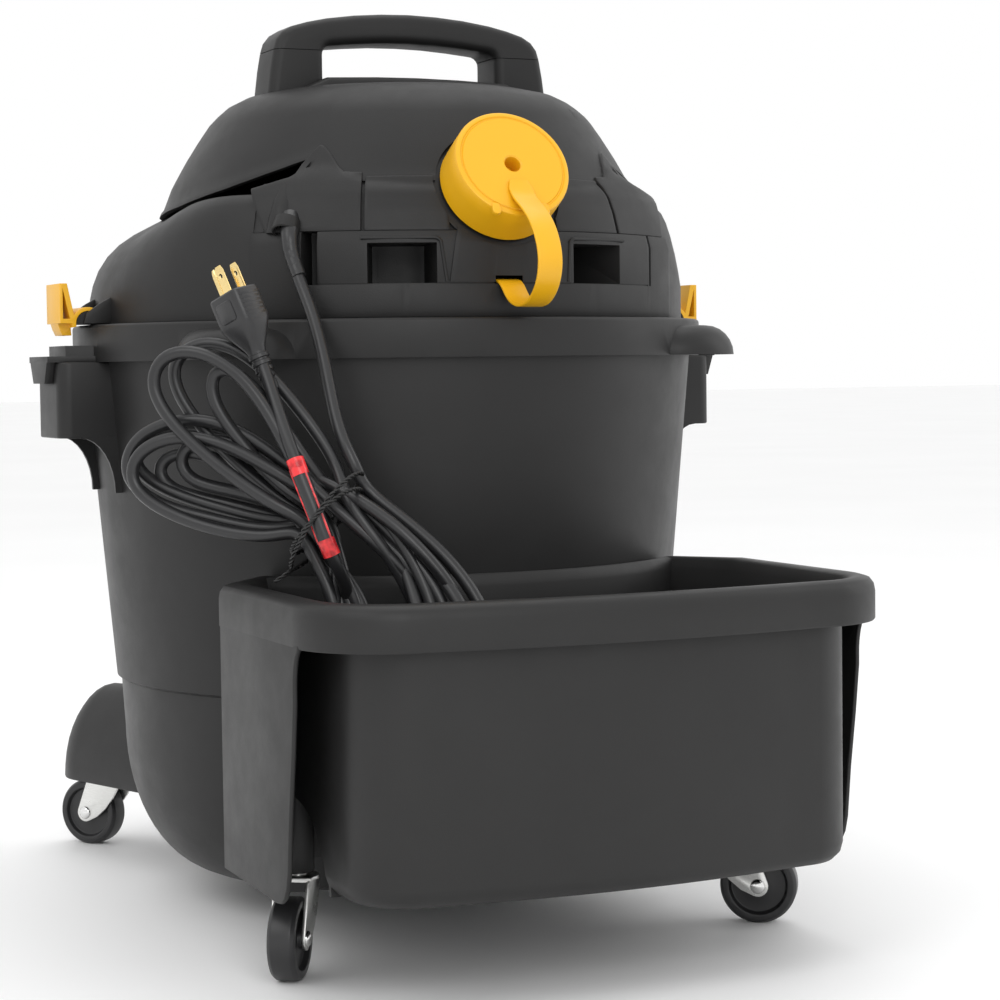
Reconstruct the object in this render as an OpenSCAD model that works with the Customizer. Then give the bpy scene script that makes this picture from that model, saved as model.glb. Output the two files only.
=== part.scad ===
// Wheeled shop vacuum with a rear tool bin, seen in its own frame:
// +Z is up, the floor is Z = 0, the tool bin faces -Y and the hose inlet faces +Y.
// Shapes are written about the drum's axis, and on_drum() moves them to their place.

/* [Drum] */
// Drum outer radius under the collar
drum_top_r = 213.9; // [211:0.1:216]
// Drum outer radius just above the parting step
drum_low_r = 195; // [190:1:200]
// Height of the parting step
step_z = 158.5; // [150:0.5:170]
// Height of the drum's underside
drum_base_z = 22; // [20:1:26]
// Wall thickness of the moulded shells
wall = 3; // [2.5:0.5:3.5]
// Distance of the drum's axis in front of the origin
drum_y = 57; // [56:0.5:58]

/* [Collar and head] */
// Outer radius of the collar
collar_r = 221; // [219:0.5:223]
// Height of the collar's lower edge
collar_z0 = 376.5; // [374:0.5:378]
// Height of the collar's top face
collar_z1 = 401.5; // [400:0.5:404]
// Lowest outer radius of the lid
lid_r = 208.5; // [207:0.5:210]
// Clear gap between the head and the tank
head_gap = 0.5; // [0.3:0.1:1]
// Radius of the motor cover at its rim
cover_r = 166; // [163:0.5:168]
// Height of the motor cover's crown
cover_z1 = 568; // [564:1:570]

/* [Handle] */
// Half of the handle's length
handle_half = 103; // [100:1:106]
// Height of the handle's top face
handle_z1 = 613; // [610:1:616]
// Handle thickness from front to back
handle_t = 39; // [36:1:42]

/* [Blower port and cap] */
// Tilt of the port above the horizontal
port_tilt = 28; // [24:1:32]
// Outer radius of the cap
cap_r = 38.7; // [37:0.1:40]
// Depth of the cap
cap_depth = 29.5; // [27:0.5:31]

/* [Tool bin] */
// Half width of the bin's body
bin_half = 163.5; // [161:0.5:166]
// Half width over the rim
rim_half = 189; // [187:0.5:190]
// Height of the bin's rim
rim_z = 239; // [236:1:242]
// Height of the bin's underside
bin_z = 64; // [63:0.5:66]

/* [Casters] */
// Wheel radius, a two inch wheel
wheel_r = 25.4; // [25:0.1:25.8]
// Wheel width
wheel_w = 17; // [15:0.5:18]
// Distance from the stem's axis to the wheel's axis
trail = 23; // [21:0.5:24]

/* [Cord] */
// Diameter of the mains cord
cord_d = 8; // [7.8:0.1:8.2]

/* [Hidden] */

$fn = 96;
hull_fn = 32;
eps = 0.01;

// Drum
cove_z = 122;             // height where the rounded bottom meets the lower wall
cove_r = 130;             // radius where the rounded bottom begins
cove_w = 60;              // width of the rounded bottom
step_in = 3;              // inward step at the parting line
drum_rim_z = 397;         // top edge of the drum's wall
inlet_z = 290;            // height of the hose inlet
inlet_r = 35.5;           // outer radius of the inlet's tube
inlet_bore = 31.9;        // fits a nominal 2.5 inch hose end
inlet_pad_y = 212;        // flat pad on the drum's front for the inlet's flange

// Latch columns at the drum's sides
column_x = 246;
column_half = 30;
column_z0 = 326;
ridge_x = 222;            // axis of the ridge that each latch turns on
ridge_z = 402.5;
ridge_r = 8;
latch_half = 18;

// Tool bin in plan: front line, its bow, and where it wraps the drum
bin_front = -378;
rim_front = -390;
bin_back = -187;
wrap_r = 206.3;
arch_y = -246;
arch_r = 56;
hump_a = 40;              // angle of the humps that carry the bin
screw_a = 35;             // angle of the screws that hold the bin on the drum

// Lid and rear vent housing
lid_z0 = collar_z1 + head_gap;
lid_z1 = 474.5;
deck_z = 405;
vent_half = 48;           // half angle of the vent housing
vent_z0 = 423;
vent_z1 = 492.5;
tier_z = 456;             // lower edge of the upper tier of panels
window_a0 = 13.2;
window_a1 = 25.2;
window_z1 = 448;

// Motor cover and handle stand a little behind the drum's axis
cover_y = -30;
handle_y = -34;
seam_z = 585.5;           // joint between the handle's base and grip
post_x = 64;              // inner face of each handle post

// Blower port
port_face = [0, -217, 497.5];
port_r = 33.3;
port_bore = 30.3;
port_clear_r = 44;

// Strap from the cap's face to the slot in the vent housing, as Y and Z
strap_route = [[-227.6, 480.4], [-231.5, 475], [-241, 469.5], [-252, 461], [-260, 450],
    [-264.5, 437], [-262, 424], [-254, 414], [-243, 408], [-230, 407.5], [-219, 412.5],
    [-213.5, 420], [-208, 424.6], [-200, 425]];
strap_w = 16;
strap_t = 2;

// Switch on the front slope of the motor cover
switch_at = [0, 119.5, 513];
switch_tilt = 62;

// Motor, fan and filter, all on the drum's axis
fan_r = 92;
cage_r = 62;
cage_z0 = 232;

// Casters: stem position, bearing clearance and fork heights
stem_front = [140, 234];
stem_rear = [150, -214];
stem_r = 5.5;
stem_clear = 0.06;
stem_top = 90;
fork_z = 57.5;
fork_top = 60;
socket_z0 = 62;
axle_r = 3;
foot_r = 40;
foot_flare = 27;          // how much wider the foot is where it meets the drum
foot_z0 = 55.5;
foot_z1 = 128;

// Cord: the hank lies in an upright plane that faces this angle, at this distance
hank_a = -40;
hank_r0 = 252;
hank_t = 30;
exit_at = [-132, -168];   // where the cord leaves the vent housing
lead_route = [[-132, -168, 450], [-132, -168, 446], [-130, -175.5, 433], [-128, -181, 422],
    [-126, -187, 410], [-125, -193, 399], [-125, -200, 387], [-125, -208, 373],
    [-125.5, -216, 359], [-126, -225, 345], [-125.5, -233, 333], [-123.5, -240, 322],
    [-120.5, -247, 310]];
plug_at = [4, 381.5];     // foot of the plug in the hank's plane
plug_lean = 22.6;
plug_len = 38;
tail_route = [[5.7, 377.4], [4.8, 379.4], [4, 381.4]];

// ---------------------------------------------------------------- helpers

// Moves a shape from the drum's axis to its place in the part's frame
module on_drum() { translate([0, drum_y, 0]) children(); }

// Turns a shape about the drum's axis, from the rear towards +X
module at_angle(a) { rotate([0, 0, a]) children(); }

// Puts a screw drawn along +Z, pointing outward, at each place on the bin's wrapped wall
module at_bin_screws() {
    for (a = [-screw_a, screw_a], z = [88, 116])
        at_angle(a) translate([0, 0, z]) rotate([90, 0, 0]) children();
}

// Copies a shape to both sides of the X = 0 plane
module both_sides() { children(); mirror([1, 0, 0]) children(); }

// Points of an elliptical arc in a profile of radius and height
function arc(cx, cy, rx, ry, a0, a1, n = 8) =
    [for (i = [0:n]) let (a = a0 + (a1 - a0) * i / n) [cx + rx * cos(a), cy + ry * sin(a)]];

module ring(r_out, r_in, z0, z1) {
    translate([0, 0, z0]) difference() {
        cylinder(r = r_out, h = z1 - z0);
        translate([0, 0, -1]) cylinder(r = r_in, h = z1 - z0 + 2);
    }
}

// Wedge about the drum's axis between two angles measured from the rear
module wedge(a0, a1, z0, z1, r = 320) {
    n = 8;
    pts = [for (i = [0:n]) let (a = a0 + (a1 - a0) * i / n) [r * sin(a), -r * cos(a)]];
    translate([0, 0, z0]) linear_extrude(z1 - z0) polygon(concat([[0, 0]], pts));
}

// Upright block with rounded vertical edges
module rounded_block(size, r) {
    x = size[0] / 2 - r;
    y = size[1] / 2 - r;
    linear_extrude(size[2]) {
        square([size[0], 2 * y], center = true);
        square([2 * x, size[1]], center = true);
        for (sx = [-1, 1], sy = [-1, 1]) translate([sx * x, sy * y]) circle(r);
    }
}

// Puts a shape drawn along +Z on the blower port's axis, Z = 0 at the cap's face
module on_port() {
    translate(port_face) rotate([90 - port_tilt, 0, 0]) children();
}

// ---------------------------------------------------------------- drum

function drum_profile(inset) = concat(
    [[0, drum_base_z + inset]],
    arc(cove_r, cove_z, cove_w - inset, cove_z - drum_base_z - inset, -90, 0, 10),
    [[drum_low_r - step_in - inset, step_z - 2], [drum_low_r - inset, step_z],
     [drum_top_r - inset, collar_z0]]);

module drum_solid(inset, top) {
    rotate_extrude($fn = 120)
        polygon(concat(drum_profile(inset), [[drum_top_r - inset, top], [0, top]]));
}

// One latch column: a rounded block that stands out of the drum, with two webs below it
module latch_column() {
    depth = column_x - 190;
    difference() {
        translate([190 + depth / 2, 0, column_z0])
            rounded_block([depth, 2 * column_half, collar_z0 - column_z0], 9);
        translate([190 + depth / 2, 0, column_z0 - 1])
            rounded_block([depth - 2 * wall, 2 * column_half - 2 * wall, 44], 6);
    }
    for (y = [-column_half, column_half - wall])
        translate([0, y + wall, 0]) rotate([90, 0, 0]) linear_extrude(wall)
            polygon(concat([[195, column_z0 + eps], [195, 289], [209, 289]],
                arc(232, 289, 23, column_z0 - 289, 180, 90, 6), [[232, column_z0 + eps]]));
}

// Rounded humps low on the drum's wall, where the tool bin is screwed on
module bin_humps() {
    intersection() {
        for (a = [-hump_a, hump_a]) at_angle(a) rotate([90, 0, 0]) translate([0, 90, 100])
            linear_extrude(120) scale([52, 54]) circle(1);
        cylinder(r = wrap_r - 0.4, h = 200, $fn = 120);
    }
}

module drum() {
    color("#2f2f31") on_drum() difference() {
        union() {
            drum_solid(0, drum_rim_z);
            both_sides() latch_column();
            bin_humps();
            translate([0, 190, inlet_z]) rotate([-90, 0, 0]) cylinder(r = 48, h = inlet_pad_y - 190);
        }
        drum_solid(wall, drum_rim_z + 1);
        translate([0, 150, inlet_z]) rotate([-90, 0, 0]) cylinder(r = inlet_r + 0.2, h = 100);
        at_bin_screws() cylinder(r = 2.6, h = 230);
    }
}

// Skirted ring over the drum's rim, with latch ledges and grip hoods
module grip_hood() {
    at_angle(48) translate([0, -(collar_r - 15), collar_z0]) difference() {
        rotate_extrude() polygon(concat([[0, 0], [44, 0]], arc(25, 0, 19, 20, 0, 90, 6), [[0, 20]]));
        translate([0, 0, -1])
            rotate_extrude() polygon(concat([[0, 0], [41, 0]], arc(25, 0, 16, 18, 0, 90, 6), [[0, 18]]));
    }
}

module latch_ledge() {
    translate([205, -25, collar_z0]) cube([47, 50, 4]);
    translate([205, -22, collar_z0]) cube([34, 44, 11]);
    // lip that hangs over the column's outer face
    translate([column_x + 0.4, 0, collar_z0]) rotate([90, 0, 90]) linear_extrude(252 - column_x - 0.4)
        polygon([[-23, 1], [23, 1], [15, -14], [-15, -14]]);
}

module drum_collar() {
    color("#303032") on_drum() difference() {
        union() {
            rotate_extrude($fn = 120) polygon(concat([[drum_top_r, collar_z0], [collar_r, collar_z0]],
                arc(collar_r - 2.5, collar_z1 - 2.5, 2.5, 2.5, 0, 90, 4),
                [[206, collar_z1], [206, drum_rim_z], [drum_top_r, drum_rim_z]]));
            difference() {
                union() {
                    both_sides() latch_ledge();
                    both_sides() grip_hood();
                }
                translate([0, 0, collar_z0 - 20]) cylinder(r = collar_r - 3, h = 60, $fn = 120);
            }
        }
    }
}

// ---------------------------------------------------------------- tool bin

// Bin outline in plan: flat sides, round front corners and a bowed front
module bin_outline(half, front, corner, bow, back, inset = 0) {
    cx = half - corner;
    bow_r = (cx * cx + bow * bow) / (2 * bow);
    lean = asin(cx / bow_r);
    cy = front + bow + corner * cos(lean);
    wrap = 149 - inset;
    polygon(concat([[120, -120 - inset], [wrap, -wrap - 2 * inset], [half, back]],
        arc(cx, cy, corner, corner, 0, lean - 90, 8),
        arc(0, front + bow_r, bow_r, bow_r, lean - 90 - 0.5, -90 - lean + 0.5, 12),
        arc(-cx, cy, corner, corner, -90 - lean, -180, 8),
        [[-half, back], [-wrap, -wrap - 2 * inset], [-120, -120 - inset]]));
}

module bin_wall_outline(inset) {
    bin_outline(bin_half - inset, bin_front + inset, 40 - inset, 11, bin_back - inset, inset);
}

// Hollow over each rear caster: a barrel vault in the bin's side
module caster_vault(grow) {
    translate([103 - grow, arch_y, 58]) rotate([90, 0, 90]) cylinder(r = arch_r + grow, h = 70);
}

// Side skirt of the bin, with the notch that shows the caster's socket
module bin_skirt() {
    translate([rim_half - wall, 0, 0]) rotate([90, 0, 90]) linear_extrude(wall)
        polygon(concat([[bin_back, bin_z - 1.5], [-284, bin_z - 4.5], [-292, bin_z - 4], [-298, bin_z],
            [-303, bin_z + 7], [-306, bin_z + 17], [-310, 114], [-316, 150], [-320, 180]],
            arc(-330, 187, 10, 24, 0, 75, 4), [[-329, 214], [bin_back, 214]]));
}

module bin_rim() {
    difference() {
        translate([0, 0, rim_z - 27]) linear_extrude(27)
            bin_outline(rim_half, rim_front, 60, 11, bin_back);
        translate([0, 0, rim_z - 28]) linear_extrude(25)
            bin_outline(rim_half - wall, rim_front + wall, 57, 11, bin_back - wall, wall);
    }
}

module tool_bin() {
    color("#2e2e30") on_drum() difference() {
        union() {
            // body
            translate([0, 0, bin_z]) linear_extrude(rim_z - bin_z) bin_wall_outline(0);
            bin_rim();
            both_sides() bin_skirt();
            both_sides() translate([bin_half - 1, bin_back - wall, bin_z + 2])
                cube([rim_half - bin_half, wall, 150]);
        }
        // inside, round the drum
        difference() {
            translate([0, 0, bin_z + wall]) linear_extrude(rim_z) difference() {
                bin_wall_outline(wall);
                circle(wrap_r + wall, $fn = 120);
            }
            both_sides() caster_vault(wall);
        }
        translate([0, 0, bin_z - 1]) cylinder(r = wrap_r, h = rim_z, $fn = 120);
        both_sides() difference() {
            caster_vault(0);
            translate([stem_rear[0], stem_rear[1], 50]) cylinder(r = 10, h = 80);
        }
        both_sides() translate([stem_rear[0], stem_rear[1], 50]) cylinder(r = 11, h = socket_z0 - 50);
        both_sides() translate([stem_rear[0], stem_rear[1], 60])
            cylinder(r = stem_r + stem_clear, h = stem_top + 1 - 60);
        at_bin_screws() cylinder(r = 2.6, h = 230);
    }
}

// Pan-head screws that hold the bin's wrapped wall on the drum's humps
module bin_screws() {
    color("silver") on_drum() at_bin_screws() {
        translate([0, 0, 196]) cylinder(r = 2.5, h = wrap_r + wall - 196);
        translate([0, 0, wrap_r + wall]) cylinder(r = 5, h = 2.6);
    }
}

// ---------------------------------------------------------------- front feet

// Domed foot about the stem, stretched inward into the drum
module foot_shape(inset) {
    a = atan2(stem_front[0], stem_front[1]);
    r = foot_r - inset;
    low = foot_z0 + inset;
    rise = foot_z1 - foot_z0 - 20 - inset;
    hull() for (end = [[norm(stem_front), r], [140, r + foot_flare]])
        rotate([0, 0, -a]) translate([0, end[0], 0])
            rotate_extrude($fn = hull_fn) polygon(concat([[0, low], [end[1], low]],
                arc(0, foot_z0 + 20, end[1], rise, 0, 75, 5), [[0, foot_z0 + 20 + rise]]));
}

module foot_front() {
    difference() {
        foot_shape(0);
        difference() {
            foot_shape(wall);
            translate([stem_front[0], stem_front[1], 0]) cylinder(r = 10, h = 140);
        }
        translate([stem_front[0], stem_front[1], 0]) cylinder(r = 23.5, h = socket_z0);
        translate([stem_front[0], stem_front[1], 0]) cylinder(r = stem_r + stem_clear, h = stem_top + 1);
        drum_solid(-0.01, drum_rim_z);
    }
}

module foot_front_left() { color("#2b2b2d") on_drum() mirror([1, 0, 0]) foot_front(); }
module foot_front_right() { color("#2b2b2d") on_drum() foot_front(); }

// ---------------------------------------------------------------- casters

// Places a caster at its stem, turned so that +X is the way its wheel trails
module caster(stem, side, heading) {
    on_drum() translate([side * stem[0], stem[1], 0]) rotate([0, 0, heading]) children();
}

module fork() {
    color("silver") {
        translate([0, 0, fork_top - eps]) cylinder(r = stem_r, h = stem_top - fork_top);
        translate([0, 0, fork_z]) cylinder(r = 13, h = fork_top - fork_z);
        translate([0, -11, fork_z]) cube([13, 22, fork_top - fork_z]);
        for (y = [-11, 9]) translate([0, y + 2, 0]) rotate([90, 0, 0]) linear_extrude(2)
            difference() {
                polygon(concat([[-8, fork_z + 1], [-8, 47], [-3, 38.5], [4, 29.5], [12, 22.8]],
                    arc(trail, wheel_r, 7, 7, 245, 380, 8), [[18, fork_z + 1]]));
                translate([trail, wheel_r]) circle(axle_r);
            }
    }
}

// Riveted axle with a domed head at each end
module axle() {
    color("gainsboro") translate([trail, 0, wheel_r]) rotate([90, 0, 0]) {
        translate([0, 0, -11.5]) cylinder(r = axle_r, h = 23);
        for (m = [0, 1]) mirror([0, 0, m]) translate([0, 0, 11]) rotate_extrude()
            polygon(concat([[0, 0]], arc(0, 0, 5, 2.4, 0, 90, 5)));
    }
}

module wheel() {
    half = wheel_w / 2;
    color("#1c1c1d") translate([trail, 0, wheel_r]) rotate([90, 0, 0]) rotate_extrude()
        polygon([[axle_r + stem_clear, -half], [6, -half], [6, -half + 2.5], [18, -half + 3.5],
            [19.5, -half], [wheel_r - 2, -half], [wheel_r, -half + 2.5], [wheel_r, half - 2.5],
            [wheel_r - 2, half], [19.5, half], [18, half - 3.5], [6, half - 2.5], [6, half],
            [axle_r + stem_clear, half]]);
}

turn_front_left = 130;
turn_front_right = 20;
turn_rear_left = -124;
turn_rear_right = -36;

module fork_front_left() { caster(stem_front, -1, turn_front_left) fork(); }
module fork_front_right() { caster(stem_front, 1, turn_front_right) fork(); }
module fork_rear_left() { caster(stem_rear, -1, turn_rear_left) fork(); }
module fork_rear_right() { caster(stem_rear, 1, turn_rear_right) fork(); }
module axle_front_left() { caster(stem_front, -1, turn_front_left) axle(); }
module axle_front_right() { caster(stem_front, 1, turn_front_right) axle(); }
module axle_rear_left() { caster(stem_rear, -1, turn_rear_left) axle(); }
module axle_rear_right() { caster(stem_rear, 1, turn_rear_right) axle(); }
module wheel_front_left() { caster(stem_front, -1, turn_front_left) wheel(); }
module wheel_front_right() { caster(stem_front, 1, turn_front_right) wheel(); }
module wheel_rear_left() { caster(stem_rear, -1, turn_rear_left) wheel(); }
module wheel_rear_right() { caster(stem_rear, 1, turn_rear_right) wheel(); }

// ---------------------------------------------------------------- hose inlet

module hose_inlet() {
    color("#262627") on_drum() translate([0, inlet_pad_y, inlet_z]) rotate([-90, 0, 0]) difference() {
        union() {
            translate([0, 0, -18]) cylinder(r = inlet_r, h = 54);
            cylinder(r = 46, h = 4);
            translate([0, 0, 32]) cylinder(r = 38, h = 4);
        }
        translate([0, 0, -20]) cylinder(r = inlet_bore, h = 60);
    }
}

// Hood inside the drum that turns the incoming air downward
module inlet_deflector() {
    color("#262627") on_drum() translate([0, inlet_pad_y - 13.6, inlet_z]) rotate([90, 0, 0])
        difference() {
            union() {
                cylinder(r = 38, h = 36);
                translate([-38, -38, 6]) cube([76, 38, 30]);
            }
            translate([0, 0, -1]) cylinder(r = inlet_r, h = 34);
            translate([-inlet_r, -40, 9]) cube([2 * inlet_r, 42, 24]);
        }
}

// ---------------------------------------------------------------- head

function shoulder(inset) = concat([[lid_r - inset, 420]],
    arc(158.5, 420, 50 - inset, 51 - inset, 5, 68, 8));

module lid_revolve() {
    rotate_extrude($fn = 120) polygon(concat([[200, lid_z0], [lid_r, lid_z0]], shoulder(0),
        [[160, lid_z1], [100, lid_z1], [100, lid_z1 - wall], [160 - wall, lid_z1 - wall]],
        [for (i = [8:-1:0]) shoulder(wall)[i]],
        [[lid_r - wall, deck_z + wall], [70, deck_z + wall], [70, deck_z], [200, deck_z]]));
}

// Ridge at each side that the latch's hooked tongue turns on, held by end cheeks
module latch_ridge() {
    intersection() {
        union() {
            translate([ridge_x, 0, ridge_z]) rotate([90, 0, 0])
                cylinder(r = ridge_r, h = 2 * latch_half + 8, center = true);
            for (y = [-latch_half - 4, latch_half + 1])
                translate([202, y, lid_z0]) cube([ridge_x - 202, 3, 8]);
        }
        translate([200, -40, lid_z0]) cube([40, 80, 20]);
    }
}

module port_hole(r) { on_port() translate([0, 0, -90]) cylinder(r = r, h = 120); }

module lid() {
    color("#303032") on_drum() difference() {
        union() {
            lid_revolve();
            ring(203, 200, lid_z0 - 10, lid_z0 + 1);
            both_sides() latch_ridge();
        }
        difference() {
            wedge(-vent_half, vent_half, vent_z0, lid_z1 + 1);
            cylinder(r = 150, h = 600);
        }
        port_hole(port_clear_r);
    }
}

module lid_gasket() {
    color("#141414") on_drum() ring(205.6, 203, lid_z0 - 6, lid_z0);
}

function vent_profile(inset) = [[lid_r - inset, vent_z0], [lid_r - inset, 446],
    [206 - inset, tier_z], [200 - inset, 474], [195 - inset, 484 - inset / 2], [188 - inset, vent_z1 - inset]];

// Rear housing that stands out of the lid's shoulder: windows below, a tier of panels above
module vent_shell() {
    intersection() {
        difference() {
            rotate_extrude($fn = 120) polygon(concat([[150, vent_z0]], vent_profile(0), [[150, vent_z1]]));
            difference() {
                rotate_extrude($fn = 120) polygon(concat([[140, vent_z0 + wall]],
                    [for (p = vent_profile(wall)) [p[0], max(p[1], vent_z0 + wall)]],
                    [[140, vent_z1 - wall]]));
                wedge(-vent_half, -vent_half + 1, 400, 520);
                wedge(vent_half - 1, vent_half, 400, 520);
            }
        }
        wedge(-vent_half + 0.1, vent_half - 0.1, 400, 520);
    }
}

// Raised panel of the upper tier
module tier_panel(a0, a1, proud = 2.5) {
    intersection() {
        rotate_extrude($fn = 120) polygon(concat(
            [for (p = vent_profile(-proud)) if (p[1] > tier_z - 1) p],
            [for (i = [5:-1:2]) vent_profile(0.5)[i]]));
        wedge(a0, a1, tier_z, 520);
    }
}

module vent_housing() {
    color("#2d2d2f") on_drum() difference() {
        union() {
            vent_shell();
            tier_panel(-45.2, -26.5);
            tier_panel(-25.7, -12);
            tier_panel(12, 25.2);
            tier_panel(27, 44.5);
            // peaked tab over the cord's outlet
            at_angle(-34) translate([0, -194, vent_z1 - 2]) rotate([90, 0, 0]) linear_extrude(6)
                polygon([[-9, 0], [9, 0], [2, 20], [-2, 20]]);
            // centre housing below the port
            intersection() {
                ring(211, 204, vent_z0, 467);
                translate([0, -180, 0]) rotate([90, 0, 0]) linear_extrude(40)
                    polygon([[-45, vent_z0], [45, vent_z0], [38, 467], [-38, 467]]);
            }
            // boss that holds the cord's strain relief
            translate([exit_at[0], exit_at[1], tier_z - 6]) cylinder(r = 9, h = 16);
        }
        for (s = [-1, 1]) wedge(min(s * window_a0, s * window_a1), max(s * window_a0, s * window_a1),
            vent_z0 + wall, window_z1);
        for (a = [-35, 35.6]) wedge(a - 1, a + 1, vent_z0 + wall, tier_z - 1);
        port_hole(port_clear_r);
        translate([-9, -215, vent_z0 - 1]) cube([18, 22, 4.8]);
        translate([exit_at[0], exit_at[1], tier_z - 8]) cylinder(r = 6, h = 26);
    }
}

function cover_profile(inset) = concat([[cover_r + 1 - inset, 475]],
    arc(95, 508, 48.5 - inset, 48.5 - inset, 12, 74, 8),
    arc(0, cover_z1 - 28, 120 - inset, 28 - inset, 38, 90, 8));

module cover_solid(inset) {
    translate([0, cover_y, 0]) rotate_extrude($fn = 120)
        polygon(concat([[0, 475]], cover_profile(inset)));
}

module on_switch() {
    translate(switch_at) rotate([-switch_tilt, 0, 0]) children();
}

module motor_cover() {
    color("#2f2f31") on_drum() difference() {
        cover_solid(0);
        translate([0, 0, -eps]) cover_solid(wall);
        wedge(-vent_half - 0.3, vent_half + 0.3, 470, vent_z1 + 0.2);
        port_hole(port_clear_r);
        on_switch() translate([-22, -14, -15]) cube([44, 28, 30]);
        for (a = [60, 120, 240, 300]) at_angle(a) translate([0, -140, 470]) cylinder(r = 2.4, h = 20);
    }
}

// Screws through the lid's top plate into posts of the motor cover
module cover_screws() {
    color("silver") on_drum() for (a = [60, 120, 240, 300]) at_angle(a) translate([0, -140, 0]) {
        translate([0, 0, lid_z1]) cylinder(r = 2, h = 15);
        translate([0, 0, lid_z1]) cylinder(r = 4, h = 3);
    }
}

// Handle outline from the front: a flat arch with rounded shoulders
module grip_outline() {
    difference() {
        polygon(concat([[99, seam_z + 0.2]], arc(70, 586, 28.5, handle_z1 - 590, 5, 60, 6),
            arc(0, handle_z1 - 14, 110, 14, 40, 140, 10),
            arc(-70, 586, 28.5, handle_z1 - 590, 120, 175, 6), [[-99, seam_z + 0.2]]));
        polygon(concat([[post_x, seam_z - 1], [post_x, 586]], arc(post_x - 7, 586, 7, 7, 0, 90, 4),
            arc(-post_x + 7, 586, 7, 7, 90, 180, 4), [[-post_x, 586], [-post_x, seam_z - 1]]));
    }
}

module handle_grip() {
    color("#2b2b2d") on_drum() difference() {
        translate([0, handle_y + handle_t / 2, 0]) rotate([90, 0, 0])
            linear_extrude(handle_t) grip_outline();
        for (x = [-82, 82]) translate([x, handle_y, seam_z - 1]) cylinder(r = 2, h = 14);
    }
}

module handle_base() {
    color("#2b2b2d") on_drum() difference() {
        both_sides() translate([0, handle_y + handle_t / 2, 0]) rotate([90, 0, 0])
            linear_extrude(handle_t)
            polygon([[post_x, 540], [handle_half + 2, 540], [handle_half, 560], [99, seam_z], [post_x, seam_z]]);
        cover_solid(0);
        for (x = [-82, 82]) translate([x, handle_y, 530]) cylinder(r = 2.2, h = 70);
    }
}

// Long screws that clamp the grip on the base
module handle_screws() {
    color("silver") on_drum() for (x = [-82, 82]) translate([x, handle_y, 0])
        translate([0, 0, 566]) cylinder(r = 1.9, h = 30);
}

module blower_port() {
    color("#2b2b2d") on_drum() on_port() difference() {
        union() {
            translate([0, 0, -72]) cylinder(r = port_r, h = 66);
            translate([0, 0, -36]) cylinder(r = port_clear_r - 0.2, h = 4);
        }
        translate([0, 0, -73]) cylinder(r = port_bore, h = 80);
    }
}

module port_cap() {
    color("#f5a800") on_drum() on_port() difference() {
        translate([0, 0, -cap_depth]) cylinder(r = cap_r, h = cap_depth);
        translate([0, 0, -cap_depth - 1]) cylinder(r = port_r + 0.4, h = cap_depth - 3);
        translate([0, 0, -3]) cylinder(r = 5.5, h = 10);
    }
}

function strap_side(i, s) =
    let (p = strap_route[max(i - 1, 0)], q = strap_route[min(i + 1, len(strap_route) - 1)],
         d = (q - p) / norm(q - p))
    strap_route[i] + s * strap_t / 2 * [-d[1], d[0]];

module cap_strap() {
    n = len(strap_route) - 1;
    color("#f5a800") on_drum() translate([-strap_w / 2, 0, 0]) rotate([90, 0, 90])
        linear_extrude(strap_w)
        polygon(concat([for (i = [0:n]) strap_side(i, 1)], [for (i = [n:-1:0]) strap_side(i, -1)]));
}

// Latch in its own frame: origin on the ridge's axis, +X outward
module latch() {
    color("#f5a800") on_drum() translate([ridge_x, 0, ridge_z]) rotate([90, 0, 0]) {
        linear_extrude(2 * latch_half, center = true) {
            polygon(concat(arc(0, 0, 8.3, 8.3, -15, 125, 10), arc(0, 0, 10.8, 10.8, 125, -15, 10)));
            difference() {
                polygon([[10.2, 0], [19, 0], [19, 26.5], [14, 26.5], [9.5, 5]]);
                polygon([[12.2, 3], [17, 3], [17, 23.5]]);
            }
        }
        linear_extrude(20, center = true)
            polygon([[10.2, 1], [19, 1], [17.5, -4], [15.6, -8], [9.6, -8], [10, -3]]);
    }
}

module latch_left() { mirror([1, 0, 0]) latch(); }
module latch_right() { latch(); }

module switch_bezel() {
    color("#1d1d1e") on_drum() difference() {
        union() {
            on_switch() translate([0, 0, -12]) rounded_block([43.6, 27.6, 16], 3);
            difference() {
                on_switch() translate([0, 0, -6]) rounded_block([52, 36, 11], 6);
                cover_solid(0);
            }
        }
        on_switch() translate([0, 0, -13]) rounded_block([36, 21, 30], 1.5);
    }
}

// Rocker button, drawn with its rear half pressed in
module switch_rocker() {
    color("#141414") on_drum() on_switch() translate([0, 0, 1]) rotate([0, 6, 0])
        rotate([90, 0, 0]) linear_extrude(20, center = true) difference() {
            polygon([[-16.8, 4.5], [-16.8, -4], [-6, -9], [6, -9], [16.8, -4], [16.8, 4.5], [0, 2.5]]);
            circle(r = 1.5);
        }
}

// ---------------------------------------------------------------- motor and fan

module fan_housing() {
    color("#8d9094") on_drum() difference() {
        union() {
            translate([0, 0, deck_z + wall]) cylinder(r = fan_r, h = 40);
            translate([0, 0, deck_z + wall]) cylinder(r = fan_r + 8, h = 4);
        }
        translate([0, 0, deck_z + wall + 2]) cylinder(r = fan_r - 3, h = 36);
        translate([0, 0, deck_z]) cylinder(r = 24, h = 20);
        translate([0, 0, deck_z + 30]) cylinder(r = 11.05, h = 30);
        for (i = [0:7]) rotate([0, 0, 22.5 + 45 * i]) translate([fan_r - 10, -12, deck_z + 16])
            cube([20, 24, 16]);
    }
}

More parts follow.
